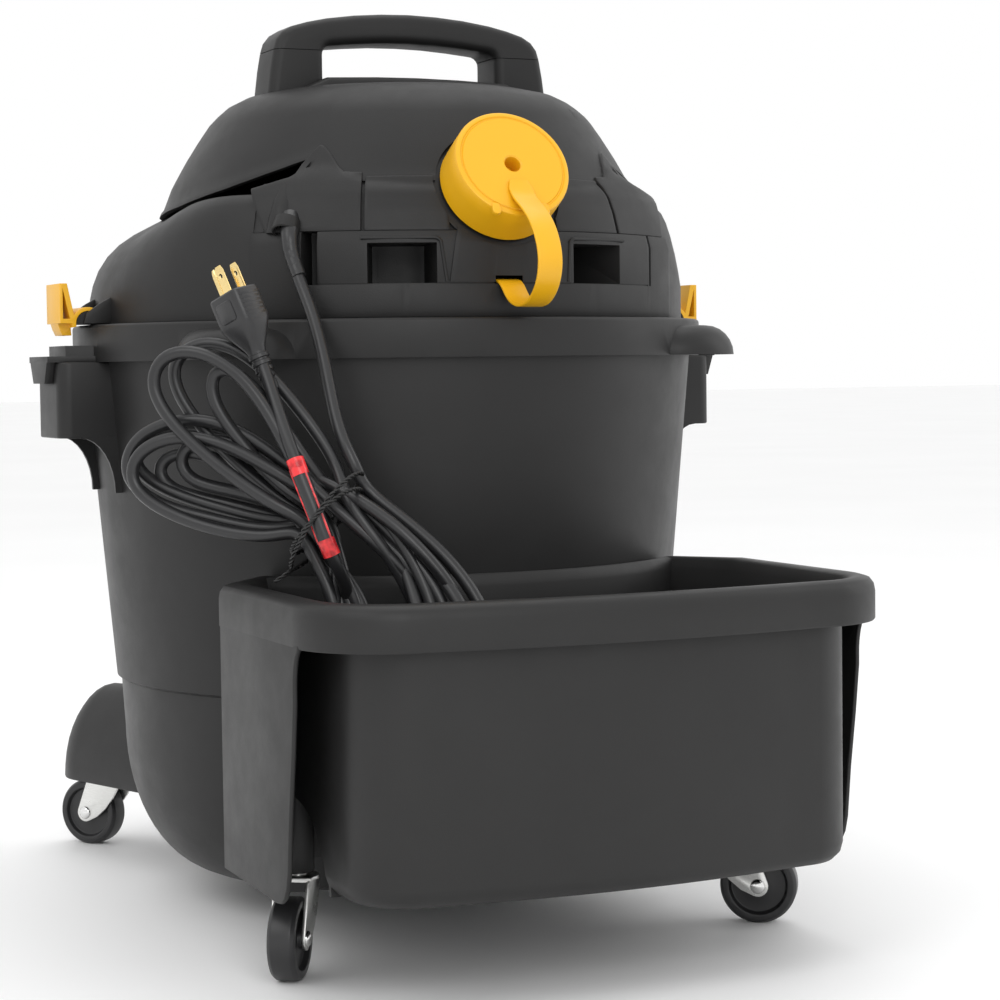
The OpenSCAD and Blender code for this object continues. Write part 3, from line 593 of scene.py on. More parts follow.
LOBE_DEPTH = (257, 259, 262, 267, 262, 272, 276, 282)
# How far the lower lobes reach to the right, down, and to the left
LOWER_LOBES = [(146, 146, 62), (118, 160, 60), (136, 150, 74), (110, 168, 56), (126, 156, 66),
               (104, 172, 62), (140, 148, 58), (120, 158, 70), (112, 150, 60)]


def slot_point(side, index):
    """A strand's place in the tie: side -1 holds the strands going up, +1 those going down."""
    offset = side * PITCH * (0.5 + index % 3)
    place_at = TIE + TIE_ACROSS * offset
    return place_at.x, place_at.y, LAYERS[index // 3]


def cord_control():
    """Control points of the whole cord: lead, turns of the hank, then the strand to the plug."""
    points = [Vector(p) for p in LEAD]
    points.append(on_hank(66.5, 308, 263))
    order_down = (2, 5, 8, 1, 4, 7, 0, 3, 6)
    order_up = (2, 1, 5, 0, 4, 3, 8, 7)
    for turn in range(9):
        a, z, out = slot_point(1, order_down[turn])
        points.append(on_hank(a, z, out))
        right, low, left = LOWER_LOBES[turn]
        depth = 258 + 3 * ((turn * 5) % 8)
        middle = (right + left) / 2
        points += [on_hank(mix(a, right, 0.55), mix(z, 232, 0.45), out), on_hank(right, 226, depth),
                   on_hank(right + 2, 188, depth), on_hank(mix(middle, right, 0.6), low, depth),
                   on_hank(mix(middle, left, 0.6), low, depth + 1), on_hank(left - 2, 186, depth + 2),
                   on_hank(left, 226, depth + 2)]
        if turn == 8:
            break
        a, z, out = slot_point(-1, order_up[turn])
        points += [on_hank(mix(left, a, 0.6), mix(226, z, 0.6), out), on_hank(a, z, out)]
        points += [on_hank(u, v, LOBE_DEPTH[turn]) for u, v in UPPER_LOBES[turn]]
    points += [on_hank(63, 246, 284), on_hank(57, 262, 290), on_hank(50, 282, 290.5), on_hank(41, 303, 290),
               on_hank(31, 326, 286), on_hank(20, 349, 278), on_hank(11, 368, 270),
               on_hank(6.4, 377, PLUG_DEPTH), on_hank(4, 381.8, PLUG_DEPTH)]
    return points


CORD_LINE = b_spline(cord_control())


def add_tie():
    """Two turns of twisted wire round the hank's waist, with the ends twisted together."""
    corners = [(30, 251, 283), (35, 258, 297), (51, 284, 298), (67, 304, 292), (72, 309, 270), (66, 303, 251),
               (48, 284, 249), (33, 262, 251), (27, 257, 270), (33, 263, 295), (51, 283, 298.5), (66, 297, 294),
               (72, 299, 270), (64, 292, 250), (46, 274, 249), (34, 255, 252), (29, 250, 270), (31, 250, 285),
               (26, 245, 290), (22, 243, 291)]
    line = b_spline([on_hank(*c) for c in corners], 1.0)
    strands = []
    for phase in (0, math.pi):
        turned_line = []
        for i, p in enumerate(line):
            ahead = heading_at(line, i)
            side = ahead.orthogonal().normalized()
            over = ahead.cross(side)
            a = phase + i * 0.75
            turned_line.append(Vector(p) + (side * math.cos(a) + over * math.sin(a)) * 0.75)
        strands.append(swept("tie_strand", turned_line, arc(0, 0, 0.75, 0.75, 0, 315, 7), WIRE_TIE,
                             (0.1, 0.2, 1)))
    return place(join("cord_wire_tie", strands), "head", "cord_rubber", "cord_tie")


def add_sleeve():
    """The black sleeve on the strand to the plug, with red lines along it and a red band at each end."""
    line = [p for p in CORD_LINE[-95:] if 257 < p[2] < 319 and (Vector(p).xy @ HANK_OUT.xy) > 270]
    parts = [swept("sleeve", line, arc(0, 0, 5.3, 5.0, 0, 345, 23), CORD_RUBBER)]
    for part in (line[:4], line[-4:]):
        parts.append(swept("band", part, arc(0, 0, 5.6, 5.3, 0, 345, 23), SLEEVE_RED))
    for aside in (-4.6, 4.6):
        stripe = [Vector(p) + HANK_OUT * 2.4 + HANK_ALONG * aside * 0.95 for p in line[2:-2]]
        parts.append(swept("stripe", stripe, arc(0, 0, 1.0, 0.7, 0, 330, 11), SLEEVE_RED, HANK_OUT))
    return place(join("cord_red_sleeve", parts), "head", "sleeve_plastic", "cord_sleeve")


def plug_matrix():
    """Columns of the plug's own axes: across, towards the viewer, and towards the blades."""
    up = HANK_ALONG * -math.sin(PLUG_LEAN) + Vector((0, 0, math.cos(PLUG_LEAN)))
    out = HANK_OUT
    across = up.cross(out).normalized() * -1
    turn = Matrix.Rotation(PLUG_TURN, 3, up)
    return turn @ across, turn @ out, up


def in_plug(x, y, z):
    across, out, up = plug_matrix()
    return on_hank(PLUG_AT[0], PLUG_AT[1], PLUG_DEPTH) + across * x + out * y + up * z


def plug_ring(w, d, r, z):
    return [in_plug(u, v, z) for u, v in rounded_rectangle(w, d, r, 5)]


def add_plug():
    """Moulded three-pin plug: ringed strain relief, flared neck, ribbed grip and brass pins."""
    levels = [(8.4, 8.4, 4.1, -26), (9.4, 9.4, 4.6, -25)]
    for i in range(5):
        z = -22 + 4.2 * i
        w = 9.6 + 0.9 * i
        levels += [(w, w, w / 2 - 0.1, z + h) for h in (0, 2.2)]
        levels += [(w - 1.6, w - 1.6, w / 2 - 0.9, z + h) for h in (2.6, 3.8)]
    levels += [(12, 12, 5.8, -0.4), (13, 12.5, 5, 2), (17, 15, 5, 6), (23, 19, 5.5, 12), (26.4, 22, 5.5, 16.5),
               (27, 22.6, 5, 19), (27, 22.8, 5, 34), (26.4, 22.2, 4.6, 37), (24.8, 20.6, 4, 38)]
    parts = [loft("plug_body", [plug_ring(*level) for level in levels], PLUG_RUBBER, 40)]
    for side in (-1, 1):
        for i in range(6):
            z = 19.5 + 2.7 * i
            rings = [[in_plug(side * 12.6 + u * 2, v, z + h) for u, v in rounded_rectangle(1, 17, 0.45, 3)]
                     for h in (0, 0.3, 1.2, 1.5)]
            parts.append(loft("rib", rings, PLUG_RUBBER))
    badge = [[in_plug(u, 11.2 + h, 27 + v) for u, v in rounded_rectangle(w, l, 2.5, 4)]
             for h, w, l in ((-0.6, 14, 13), (0.5, 14, 13), (0.9, 13, 12))]
    parts.append(loft("pad", badge, PLUG_RUBBER))
    place(join("cord_plug_body", parts), "head", "cord_rubber", "cord_plug")

    pins = []
    out, up = plug_matrix()[1:]
    for side in (-1, 1):
        blade = []
        for h, w in ((37.6, 6.35), (52.5, 6.35), (55.5, 4.8)):
            t = 1.5 if h < 53 else 0.9
            blade.append([in_plug(-3.0 + u, side * 6.35 + v, h) for u, v in rounded_rectangle(w, t, 0.3, 2)])
        hole = turned("hole", rectangle(0, -6, 1.6, 6), BRASS,
                      in_plug(-3.0, side * 6.35, 49), out, 20)
        pins.append(boolean(loft("blade", blade, BRASS), [hole]))
    pins.append(turned("ground", [(0, 0), (2.4, 0), (2.4, 14), (2.1, 16.5), (1.4, 18.6), (0, 19.6)], BRASS,
                       in_plug(7.9, 0, 37.6), up, 28))
    place(join("cord_plug_pins", pins, 28), "head", "plug_brass", "plug_blades")


def add_cord():
    cord = wire("mains_cord", CORD_LINE, CORD_R, CORD_RUBBER)
    place(cord, "head", "cord_rubber", "cord_lead", "cord_hank", "cord_plug_lead")
    add_plug()
    add_sleeve()
    add_tie()


def add_strain_relief():
    """Tapered boot where the cord leaves the vent housing, ringed near its end."""
    line = b_spline([(-127, -156, 466), (-130.6, -163.4, 459), (-132, -167.6, 452), (-132, -168.8, 444),
                     (-130.8, -172.6, 436), (-129.4, -176.8, 428)], 1.6)
    count = len(line)
    rings = []
    for i, p in enumerate(line):
        ahead = heading_at(line, i)
        side = ahead.cross(Vector((1, 0, 0))).normalized()
        over = side.cross(ahead)
        t = i / (count - 1)
        r = mix(6.0, 4.4, smooth_step(t)) + (0.22 if i % 3 == 0 and t > 0.5 else 0)
        rings.append([Vector(p) + (side * math.cos(a) + over * math.sin(a)) * r
                      for a in round_angles(28)])
    place(loft("cord_boot", rings, CORD_RUBBER, 40), "head", "cord_rubber", "cord_strain_relief")


# ------------------------------------------------------------------ head

COVER_SIDE = [(475, 167), (479.5, 165), (495, 159), (512, 149.5), (527, 140), (540, 131),
              (549.5, 120), (555, 109)]
COVER_TOP = [(96, 558), (80, 559.8), (60, 561.3), (30, 562.6), (0, 563)]
# The motor cover's lower edge is level up to an angle either side of the rear, and then falls forwards
LEVEL_TO = 35.8
LEVEL_Z = 488
COVER_EDGE = [(36, 505), (40, 502), (44, 498), (50.7, 492.3), (58, 487), (66.4, 482.6), (75, 478.6),
              (86.4, 476), (95, 474.6)]
PORT_CUT = [(0, -70), (41, -70), (41, -20), (41.6, -12), (44, -5), (48.5, 1), (56, 6), (66, 9), (0, 9)]


def cover_radius(z):
    return float(np.interp(z, [p[0] for p in COVER_SIDE], [p[1] for p in COVER_SIDE]))


def cover_edge(angle):
    """Height of the motor cover's lower edge: it climbs towards the rear and is level there."""
    if abs(angle) < LEVEL_TO:
        return LEVEL_Z
    return float(np.interp(abs(angle), *zip(*COVER_EDGE)))


def cover_distance(angle, z):
    """How far the motor cover's surface is from the drum's axis, which isn't its own axis."""
    c = -COVER_Y * math.cos(math.radians(angle))
    r = cover_radius(z)
    return c + math.sqrt(c * c + r * r - COVER_Y * COVER_Y)


def port_cutter(grow=0.0):
    profile = [(r + grow if r else 0, h) for r, h in PORT_CUT]
    return turned("port_cutter", profile, HEAD_PLASTIC, PORT_FACE, PORT_AXIS, 96)


def switch_frame():
    """The switch's axes: across, and down the slope towards the front."""
    tilt = math.radians(62)
    return Vector((1, 0, 0)), Vector((0, math.cos(tilt), -math.sin(tilt)))


def add_motor_cover():
    columns = 180
    edge_r = 165
    points = []
    for i in range(columns):
        a = math.radians(360 * i / columns)
        low = cover_edge(math.degrees(math.atan2(edge_r * math.sin(a), edge_r * math.cos(a) - COVER_Y)))
        side = [(cover_radius(low) - 0.6, low), (cover_radius(low) + 0.8, low + 0.5),
                (cover_radius(low + 3) + 1.0, low + 3), (cover_radius(low + 5) + 0.1, low + 5)]
        for k in range(1, 13):
            z = mix(low + 5, 555, (k / 12) ** 0.92)
            side.append((cover_radius(z), z))
        outer = side + COVER_TOP
        inner = [(max(r - 2.8, 0), z - (2.6 if r < 120 else 0)) for r, z in reversed(outer)]
        ring = outer + inner
        points += [(r * math.sin(a), COVER_Y - r * math.cos(a), z) for r, z in ring]
    cover = make("motor_cover_shell", points, grid_faces(columns, len(ring), True, True), HEAD_PLASTIC, 40)
    window = extruded("window", rounded_rectangle(46, 30, 3), (0, 119.5, 513), *switch_frame(), 60,
                      HEAD_PLASTIC)
    boolean(cover, [port_cutter(), window])
    # low saddle that carries the handle's posts
    outline = [(-97, 548), (-86, 557), (-66, 566.2), (-30, 567.6), (0, 568), (30, 567.6), (66, 566.2),
               (86, 557), (97, 548)]
    saddle = upright("saddle", outline, HANDLE_AT, 66, HEAD_PLASTIC)
    bevelled(saddle, 4, 3, 25)
    finish_mesh(cover, 40)
    place(join("motor_cover_shell", [cover, saddle], 40), "head", "head_plastic", "motor_cover")


LID_SIDE = [(208.5, 402), (208.5, 411), (208.5, 420), (206.4, 429.5), (202.4, 439.8), (196, 449.6),
            (188, 457.6), (178, 464.4), (168, 469.6), (159, 474.2), (156, 473)]
LID_REAR = [(208.5, 402), (208.5, 413), (208.5, 425), (207, 436), (205, 448), (202.4, 460), (199.8, 469),
            (197, 475), (192.5, 479.6), (188, 482), (185.5, 477)]


def lid_profile(angle):
    t = smooth_step((abs(angle) - 52) / 38)
    outer = [(mix(r0, r1, t), mix(z0, z1, t)) for (r0, z0), (r1, z1) in zip(LID_REAR, LID_SIDE)]
    outer.append((144, mix(470, 472.5, t)))
    inner = [(144, outer[-1][1] - 3)] + [(r - 3, max(z - 3, 402)) for r, z in reversed(outer[:-1])]
    return outer + inner


def add_lid():
    count = 230
    start, end = VENT_HALF, 360 - VENT_HALF
    rings = []
    for i in range(count + 1):
        turn = mix(start, end, i / count)
        signed = turn if turn <= 180 else turn - 360
        rings.append([polar(turn, r, z) for r, z in lid_profile(signed)])
    flank = loft("lid_flank", rings, HEAD_PLASTIC, 40)
    deck = lathe("deck", [(70, 405), (200, 405), (200, 392.5), (203, 392.5), (203, 402), (208, 402), (208, 408),
                          (70, 408)], HEAD_PLASTIC)
    parts = [flank, deck]
    for side in (-1, 1):
        ridge = [(202, 402.1), (230, 402.1)] + arc(222, 402.5, 8, 8, 0, 180, 12) + [(211, 406), (202, 410)]
        ridge = [(side * x, z) for x, z in ridge]
        parts.append(upright("ridge", ridge, (0, 0, 0), 36, HEAD_PLASTIC))
        for y in (-20, 20):
            cheek = [(side * x, z) for x, z in ((202, 402.1), (226, 402.1), (224, 409), (214, 416), (205, 421),
                                                (202, 421))]
            part = upright("cheek", cheek, (0, y, 0), 3, HEAD_PLASTIC)
            parts.append(bevelled(part, 0.7))
    place(join("lid_shell", parts, 40), "head", "head_plastic", "lid")


def vent_radius(z):
    """Outer radius of the vent housing's raised panels."""
    return float(np.interp(z, [456, 470, 480, 490, 498, 505, 512],
                           [206.4, 202.6, 198.6, 191.5, 184.5, 179, 173.5]))


def raised_panel(name, columns):
    """A panel that follows the vent housing and leans back above its crease.

    Each column is its angle and height at the top, its angle at the bottom and the crease's height."""
    low, thick = TIER_Z + 0.3, 5.0
    fine = []
    for first, second in zip(columns, columns[1:]):
        n = max(2, int(abs(second[0] - first[0]) / 0.7))
        fine += [[mix(p, q, i / n) for p, q in zip(first, second)] for i in range(n)]
    fine.append(columns[-1])
    rows = 16
    front, back = [], []
    for top_a, top_z, low_a, crease in fine:
        for k in range(rows + 1):
            a, z = mix(low_a, top_a, k / rows), mix(low, top_z, k / rows)
            r = vent_radius(z) - max(0, z - crease) * 0.4
            r = max(r, cover_distance(a, z) + 1.8)
            front.append(polar(a, r, z))
            back.append(polar(a, r - thick, z - 0.5))
    high = rows + 1
    count = len(fine)
    faces = grid_faces(count, high)
    shift = len(front)
    faces += [tuple(reversed([shift + i for i in f])) for f in grid_faces(count, high)]
    for i in range(count - 1):
        for k in (0, rows):
            a, b = i * high + k, (i + 1) * high + k
            faces.append((a, b, shift + b, shift + a))
    for i in (0, count - 1):
        for k in range(rows):
            a, b = i * high + k, i * high + k + 1
            faces.append((a, b, shift + b, shift + a))
    panel = make(name, front + back, faces, HEAD_PLASTIC, 40)
    return bevelled(panel, 0.7, 2, 50)


PEAKED_TAB = [(-48.0, 485.4, -43.5, 484), (-44.5, 488.5, -41.0, 487.5), (-40.6, 492.2, -38.5, 491.5),
              (-39.6, 494.5, -37.8, 492.5), (-39.0, 501.0, -37.2, 493.2), (-37.2, 508.0, -36.0, 495),
              (-35.6, 513.4, -34.6, 496.8), (-34.6, 512.5, -33.8, 497.8), (-33.0, 507.4, -32.3, 498.6),
              (-31.0, 498.5, -30.6, 497.5), (-29.9, 495.0, -29.6, 494), (-26.2, 494.3, -26.2, 488)]


def add_vent_housing():
    core_profile = [(150, 402), (208.5, 402), (208.5, 448), (206.4, 456), (203, 456.8), (199, 470), (194, 481),
                    (187, 488.5), (150, 489)]
    core = wedge_block("vent_core", -VENT_HALF, VENT_HALF, core_profile, HEAD_PLASTIC, 72)
    cutters = [port_cutter()]
    for a0, a1 in ((-25.1, -13), (13.5, 25.4)):
        cutters.append(wedge_block("pocket", a0, a1, rectangle(160, SEAM_Z, 222, 448.4), DUCT_PLASTIC, 10))
    for a0, a1 in ((-36.7, -33.8), (35.4, 36.2)):
        cutters.append(wedge_block("slit", a0, a1, rectangle(184, 422.6, 222, 456.4), HEAD_PLASTIC, 3))
    cutters.append(wedge_block("seam", -35, 35, rectangle(207.7, SEAM_Z - 0.5, 212, SEAM_Z + 0.3),
                               HEAD_PLASTIC, 40))
    cutters.append(upright("mouth", rectangle(-9.5, 422.4, 9.5, 427.6), (0, -205, 0), 40, HEAD_PLASTIC))
    cutters.append(turned("outlet", rectangle(0, -34, 8.6, 30), HEAD_PLASTIC, (-132, -174, 456),
                          (0, 0.25, 1), 40))
    boolean(core, cutters)
    parts = [bevelled(core, 0.6, 2, 40)]

    for side in (-1, 1):
        tab = raised_panel("tab", [(-side * a, z, -side * b, c) for a, z, b, c in PEAKED_TAB][::-side])
        a = math.radians(side * 36.6)
        notch = [(side * -u, v) for u, v in ((-4.0, 498), (-1.2, 498.6), (3.6, 506), (2.9, 508.6))]
        cut = extruded("notch", notch, polar(side * 36.6, 184, 0), (math.cos(a), math.sin(a), 0), (0, 0, 1), 9,
                       HEAD_PLASTIC)
        parts.append(boolean(tab, [cut]))
        panel = raised_panel("panel", [(side * a, 491.6, side * a, 484) for a in (10.5, 25.6)])
        parts.append(boolean(panel, [port_cutter(2)]))

    # centre housing under the port, a little proud of the wall
    n = 20
    section = ((423.6, 10.9, 207), (423.6, 10.8, 209.5), (448, 9.8, 209.4), (462, 8.9, 206.6),
               (474, 8.0, 203), (474, 8.0, 198), (423.6, 10.9, 198))
    rings = [[polar(mix(-half, half, i / n), r, z) for z, half, r in section] for i in range(n + 1)]
    centre = loft("centre_housing", rings, HEAD_PLASTIC, 40)
    mouth = upright("mouth", rectangle(-9.5, 420, 9.5, 427.6), (0, -205, 0), 60, HEAD_PLASTIC)
    boolean(centre, [port_cutter(1), mouth])
    parts.append(bevelled(centre, 1.0, 2, 40))

    # raised frames over the windows and thin ribs beside the cord's outlet
    for frame_line in ([(-26.2, 451.6), (-13.0, 451.6), (-12.3, 449.5), (-11.3, 424)],
                       [(26.6, 451.6), (13.6, 451.6), (12.8, 449.5), (12.4, 424)]):
        line = b_spline([polar(a, 208.2, z) for a, z in frame_line for _ in range(2)], 2.5)
        parts.append(swept("frame", line, rounded_rectangle(2.2, 2.4, 0.8, 3), HEAD_PLASTIC, (0, -1, 0.2)))
    ridge = []
    for z, half, proud in ((456, 2.3, 3.4), (466, 1.9, 3.0), (476, 1.3, 2.2), (487, 0.5, 0.2)):
        middle = -40.9 - (z - 456) * 0.01
        r = vent_radius(z)
        ridge.append([polar(middle + da * half, r + dr * proud, z) for da, dr in
                      ((-1.5, -0.9), (-1, 0.2), (-0.7, 0.9), (0, 1.05), (0.7, 0.9), (1, 0.2), (1.5, -0.9))])
    parts.append(loft("ridge", ridge, HEAD_PLASTIC, 50))
    out = Vector(polar(-40.3, 1, 0))
    ring = [(6.6, -8), (8.4, -8), (9.0, -1), (8.8, 0.6), (8.0, 1.2), (7.0, 0.8), (6.6, -1)]
    parts.append(turned("outlet_ring", ring, HEAD_PLASTIC, polar(-39.4, 209.0, 456.5),
                        out * 0.55 + Vector((0, 0, -0.85)), 48))
    place(join("vent_shell", parts, 40), "head", "head_plastic", "vent_housing")


def add_handle():
    """Arched grip on two posts; a fine joint runs round it where the grip meets the base."""
    half = [(104, 540), (103.2, 556), (101, 573), (98.6, 586), (96.6, 592.4), (92.4, 597.6), (85.5, 601.6),
            (74, 605), (60, 608), (40, 610.8), (20, 612.4)]
    inside = [(64, 540), (64, 583)] + arc(57, 583, 7, 6.5, 15, 90, 4) + [(40, 591.2), (20, 592.6)]
    outline = half + [(0, 613)] + [(-x, z) for x, z in reversed(half)]
    outline += [(-x, z) for x, z in inside] + [(0, 593)] + list(reversed(inside))
    arch = upright("handle", outline, HANDLE_AT, 39, HEAD_PLASTIC)
    arch = bevelled(arch, 6.5, 5, 60)
    base = arch.copy()
    base.data = arch.data.copy()
    bpy.context.scene.collection.objects.link(base)

    def slab(z0, z1):
        return upright("slab", rectangle(-130, z0, 130, z1), HANDLE_AT, 80, HEAD_PLASTIC)
    grip = boolean(arch, [slab(500, GRIP_SEAM_Z + 0.25)])
    base = boolean(base, [slab(GRIP_SEAM_Z - 0.25, 660)])
    grip.name, base.name = "handle_arch", "handle_posts"
    cores = [upright("handle_core", rectangle(x, 566, x + 30, 588), HANDLE_AT, 35, DUCT_PLASTIC)
             for x in (-96, 66)]
    place(finish_mesh(grip, 40), "head", "head_plastic", "handle_grip")
    place(join("handle_posts", [finish_mesh(base, 40)] + cores, 40), "head", "head_plastic", "handle_base")


def add_cap():
    profile = [(0, -12), (5.0, -12), (5.4, -0.8), (6.3, 0), (33.4, 0), (34.0, -0.8), (34.8, -0.8), (35.4, 0),
               (36.8, 0), (38.0, -0.5), (38.5, -1.6), (38.7, -12), (38.5, -28.8), (38.0, -29.5), (34.2, -29.5),
               (33.9, -28.8), (33.9, -4), (7.6, -4), (7.6, -14), (0, -14)]
    cap = turned("cap", profile, YELLOW, PORT_FACE, PORT_AXIS, 160, 28)
    across = Vector((1, 0, 0))
    down = PORT_AXIS.cross(across).normalized()
    if down.z > 0:
        down = -down
    parts = [cap]
    for x in (-19, 14.5):
        ear = extruded("ear", rounded_rectangle(5.5, 8, 2.2),
                       PORT_FACE + across * x + down * 33.5 - PORT_AXIS * 0.6, across, down, 3.6, YELLOW)
        parts.append(bevelled(ear, 0.8, 3))
    place(join("port_cap_body", parts, 28), "cap", "yellow_plastic", "port_cap")

    route = [(-224.4, 486.4), (-227.2, 480.9), (-231.5, 475), (-241, 469.5), (-252, 461), (-260, 450),
             (-264.5, 437), (-262, 424), (-254, 414), (-243, 408), (-230, 407.5), (-219, 412.5),
             (-213.5, 420), (-208, 424.6),
             (-200, 425)]
    line = b_spline([(0, y, z) for y, z in route], 2.0)
    rings = []
    count = len(line)
    for i, p in enumerate(line):
        ahead = heading_at(line, i)
        out = Vector((1, 0, 0)).cross(ahead)
        t = i / (count - 1)
        w = 16.4 if t > 0.04 else mix(12, 16.4, t / 0.04)
        shift = 3.0 * math.sin(math.pi * t)
        rings.append([Vector(p) + Vector((u + shift, 0, 0)) + out * v
                      for u, v in rounded_rectangle(w, 1.9, 0.7, 3)])
    strap = loft("port_cap_strap", rings, YELLOW, 50)
    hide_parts("cap_strap")
    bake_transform(strap)


# ------------------------------------------------------------------ tool bin and feet

def bin_ring(half, front, corner, z, bow, wrap=WRAP_R, inset=0.0):
    """The bin's outline in plan at one height, from its right side round the front to the drum."""
    cx = half - corner
    bow_r = (cx * cx + bow * bow) / (2 * bow)
    lean = math.degrees(math.asin(cx / bow_r))
    cy = front + bow + corner * math.cos(math.radians(lean))
    side = 149 - inset
    points = [(side, -side - 2 * inset), (half, BIN_BACK - inset)]
    points += arc(cx, cy, corner, corner, 0, lean - 90, 9)
    points += arc(0, front + bow_r, bow_r, bow_r, lean - 90 - 0.5, -90 - lean + 0.5, 14)
    points += arc(-cx, cy, corner, corner, -90 - lean, -180, 9)
    points += [(-half, BIN_BACK - inset), (-side, -side - 2 * inset)]
    ends = math.degrees(math.atan2(side, side + 2 * inset)) - 0.6
    points += [polar(mix(-ends, ends, i / 30), wrap, 0)[:2] for i in range(31)]
    return [(x, y, z) for x, y in points]


def body_ring(inward, z):
    return bin_ring(BIN_HALF - inward, BIN_FRONT + inward, BIN_CORNER - inward, z, 11)


def rim_ring(inward, z):
    return bin_ring(RIM_HALF - inward, RIM_FRONT + inward, RIM_CORNER - inward, z, 11)


def inner_ring(half, front, corner, z, wall):
    """The bin's inside, with a wall of the given thickness round the drum."""
    return bin_ring(half, front, corner, z, 10, WRAP_R + wall, wall)


def caster_socket(x, y, top):
    """The tube that a caster's stem turns in."""
    return lathe("socket", [(5.9, 62), (9.4, 62), (10, 62.8), (10.6, top), (5.9, top)], BIN_PLASTIC, (x, y), 40)


def below_bin():
    """A block that takes away what is under the bin's floor."""
    return upright("below", rectangle(-200, -40, 200, BIN_Z + 0.2), (0, -300, 0), 400, BIN_PLASTIC)


def add_tool_bin():
    rings = [body_ring(12, BIN_Z), body_ring(6, 65.6), body_ring(1.6, 70), body_ring(0, 76),
             body_ring(0, 212.4), rim_ring(0.8, 212.0), rim_ring(0, 213.2), rim_ring(0, 230),
             rim_ring(0.8, 234.2),
             rim_ring(3.4, 237.6), rim_ring(8, RIM_Z),
             inner_ring(175, -378, 47, RIM_Z, 1.4), inner_ring(171, -375.6, 44, 237.4, 3),
             inner_ring(166.6, -374.8, 42, 231, 4), inner_ring(160.6, -374.6, 38, 215, 4.4),
             inner_ring(160, -374, 37, 80, 4.6), inner_ring(158.5, -372, 36, 71, 6),
             inner_ring(152, -366, 30, 67, 9)]
    shell = loft("tool_bin_shell", rings, BIN_PLASTIC, 40)
    humps, vaults = [], []
    for side in (-1, 1):
        hump = turned("hump", rectangle(0, 0, ARCH_R + 3, 62), BIN_PLASTIC, (side * 100, ARCH_Y, 58),
                      (side, 0, 0), 72)
        humps.append(boolean(hump, [below_bin()]))
        vaults.append(turned("vault", rectangle(0, 0, ARCH_R, 75), BIN_PLASTIC, (side * 103, ARCH_Y, 58),
                             (side, 0, 0), 72))
    boolean(shell, humps, "UNION")
    boolean(shell, vaults + [below_bin()])
    parts = [finish_mesh(shell, 40)]
    panel = [(BIN_BACK, 62.5), (-240, 61), (-284, 59.4), (-292, 60.4), (-298, 63.8), (-303, 71), (-306, 81),
             (-310, 114), (-316, 150), (-320, 180)]
    panel += arc(-330, 187, 10, 24.5, 0, 75, 8) + [(-329, 214.5), (BIN_BACK, 214.5)]
    for side in (-1, 1):
        skirt = extruded("skirt", panel, (side * (RIM_HALF - 1.7), 0, 0), (0, 1, 0), (0, 0, 1), 3, BIN_PLASTIC)
        parts.append(bevelled(skirt, 1.1, 3, 50))
        x0, x1 = sorted((side * (BIN_HALF - 1), side * (RIM_HALF - 0.4)))
        wall = upright("closing", rectangle(x0, BIN_Z + 1, x1, 214), (0, BIN_BACK - 1.6, 0), 3, BIN_PLASTIC)
        parts.append(bevelled(wall, 0.8))
        parts.append(caster_socket(side * STEM_REAR[0], STEM_REAR[1], 109))
    place(join("tool_bin_shell", parts, 40), "tank", "bin_plastic", "tool_bin")


def drum_profile(inset):
    """Radius and height up the drum's outer wall, or the inside of it."""
    return ([(0, 22 + inset)] + arc(130, 122, 60 - inset, 100 - inset, -90, 0, 16) +
            [(192 - inset, 156.5), (195 - inset, 158.5), (DRUM_TOP_R - inset, COLLAR_Z)])


def drum_block(inset, top):
    return lathe("drum_block", drum_profile(inset) + [(DRUM_TOP_R - inset, top), (0, top)], DRUM_PLASTIC,
                 segments=256)


def add_drum():
    """Drum wall with latch columns, the humps behind the bin's screws and the inlet's pad."""
    drum = drum_block(0, 397)
    added = [turned("pad", [(0, 190), (48, 190), (48, 210.6), (46.6, 212), (0, 212)], DRUM_PLASTIC,
                    (0, 0, INLET_Z), (0, 1, 0), 72)]
    for side in (-1, 1):
        column = bevelled(extruded("column", rounded_rectangle(56, 60, 9, 6), (side * 218, 0, 351.25),
                                   (1, 0, 0), (0, 1, 0), COLLAR_Z - 326, DRUM_PLASTIC), 1.2, 3)
        hollow = extruded("hollow", rounded_rectangle(50, 54, 6), (side * 218, 0, 347), (1, 0, 0),
                          (0, 1, 0), 44, DRUM_PLASTIC)
        added.append(boolean(column, [hollow]))
        web = [(195, 327), (195, 289), (209, 289)] + arc(232, 289, 23, 37, 180, 90, 8) + [(232, 327)]
        for y in (-28.5, 28.5):
            added.append(upright("web", [(side * x, z) for x, z in web], (0, y, 0), 3, DRUM_PLASTIC))
        a = math.radians(side * 40)
        out = Vector((math.sin(a), -math.cos(a), 0))
        hump = extruded("hump", arc(0, 0, 52, 54, 0, 350, 35), out * 160 + Vector((0, 0, 90)),
                        (out.y, -out.x, 0), (0, 0, 1), 120, DRUM_PLASTIC)
        limit = lathe("limit", rectangle(150, 20, WRAP_R - 0.4, 160), DRUM_PLASTIC)
        added.append(boolean(hump, [limit], "INTERSECT"))
    boolean(drum, added, "UNION")
    bore = turned("bore", rectangle(0, 150, 35.7, 250), DRUM_PLASTIC, (0, 0, INLET_Z), (0, 1, 0), 72)
    boolean(drum, [drum_block(3, 400), bore])
    drum.name = "drum_shell"
    place(finish_mesh(drum, 34), "tank", "drum_plastic", "drum")


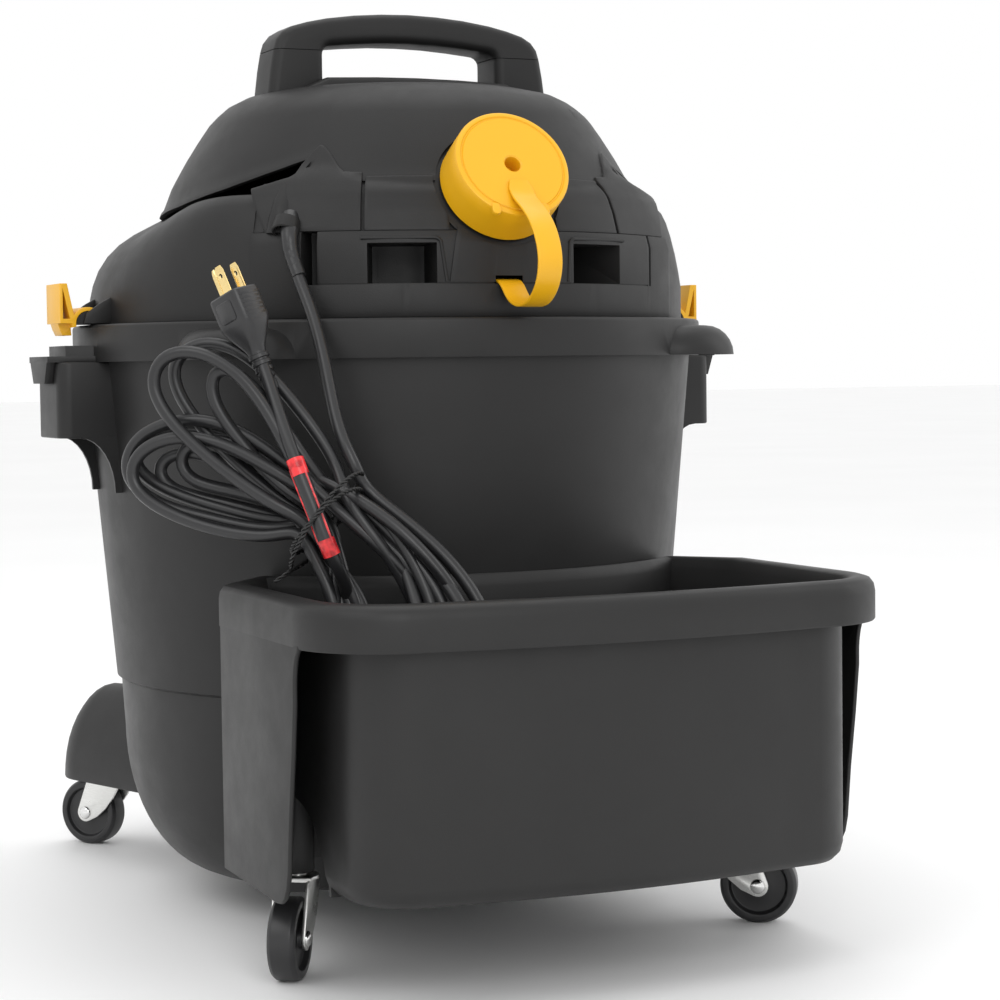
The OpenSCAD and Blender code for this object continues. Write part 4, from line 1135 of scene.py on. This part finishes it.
def add_foot(name, side):
    """Domed foot that widens towards the drum, and the caster's socket in it."""
    stem = Vector((side * STEM_FRONT[0], STEM_FRONT[1]))
    reach = stem.normalized()
    aside = Vector((-reach.y, reach.x))
    outer = [(37, 55.5), (39.6, 55.7), (40, 56.9), (39.6, 65), (38.5, 75), (36.4, 85), (33.4, 94),
             (29.6, 102.5), (25, 110), (20, 116.6), (14.4, 121.8), (8.2, 125.4), (1.2, 127.2)]
    inner = [(36, 55.5), (35.6, 66), (33, 84), (27, 101), (17, 114), (1, 122)]

    def flared(r, z):
        lean = math.degrees(math.asin(0.675 * r / (stem.length - 140)))
        ring = []
        for centre, radius, a0, a1 in ((stem, r, lean - 90, 90 - lean),
                                       (reach * 140, 1.675 * r, 90 - lean, 270 + lean)):
            for k in range(25):
                a = math.radians(mix(a0, a1, k / 24))
                p = centre + reach * (radius * math.cos(a)) + aside * (radius * math.sin(a))
                ring.append((p.x, p.y, z))
        return ring
    rings = [flared(r, z) for r, z in reversed(inner)] + [flared(r, z) for r, z in outer]
    dome = boolean(loft("foot", rings, BIN_PLASTIC, 40), [drum_block(0.4, 397)])
    cad = "foot_front_left" if side < 0 else "foot_front_right"
    place(join(name, [dome, caster_socket(stem.x, stem.y, 122)], 40), "tank", "bin_plastic", cad)


# ------------------------------------------------------------------ finishes of the CAD nodes

def each(kind):
    return tuple(kind + corner for corner in ("front_left", "front_right", "rear_left", "rear_right"))


# Material, width and segments of the softened edges, and the CAD nodes that have them
FINISHES = [
    (DRUM_PLASTIC, 0.8, 2, ("drum_collar",)),
    (DUCT_PLASTIC, 0.5, 2, ("hose_inlet", "inlet_deflector", "blower_port", "filter_cage", "filter_retainer")),
    (SWITCH_PLASTIC, 0.6, 2, ("switch_bezel",)),
    (SWITCH_PLASTIC, 0.5, 2, ("switch_rocker",)),
    (YELLOW, 0.5, 3, ("latch_left", "latch_right")),
    (ZINC, 0.3, 2, each("fork_")),
    (STEEL, 0, 2, each("axle_") + ("bin_screws", "cover_screws", "handle_screws",
                                   "motor_shaft", "bearing_upper", "bearing_lower")),
    (WHEEL_PLASTIC, 0.6, 3, each("wheel_")),
    (CAST_ALUMINIUM, 0, 2, ("fan_housing", "impeller")),
    (LAMINATION, 0, 2, ("motor_stator",)),
    (PAPER, 0, 2, ("filter_cartridge",)),
    (FLOAT_PLASTIC, 0, 2, ("float_ball",)),
    (SEAL_RUBBER, 0, 2, ("lid_gasket",)),
]
for finish, edge, rounds, names in FINISHES:
    for cad_name in names:
        paint(cad_name, finish, edge, rounds)

add_motor_cover()
add_lid()
add_vent_housing()
add_handle()
add_cap()
add_tool_bin()
add_drum()
add_foot("foot_dome_left", -1)
add_foot("foot_dome_right", 1)
add_strain_relief()
add_cord()
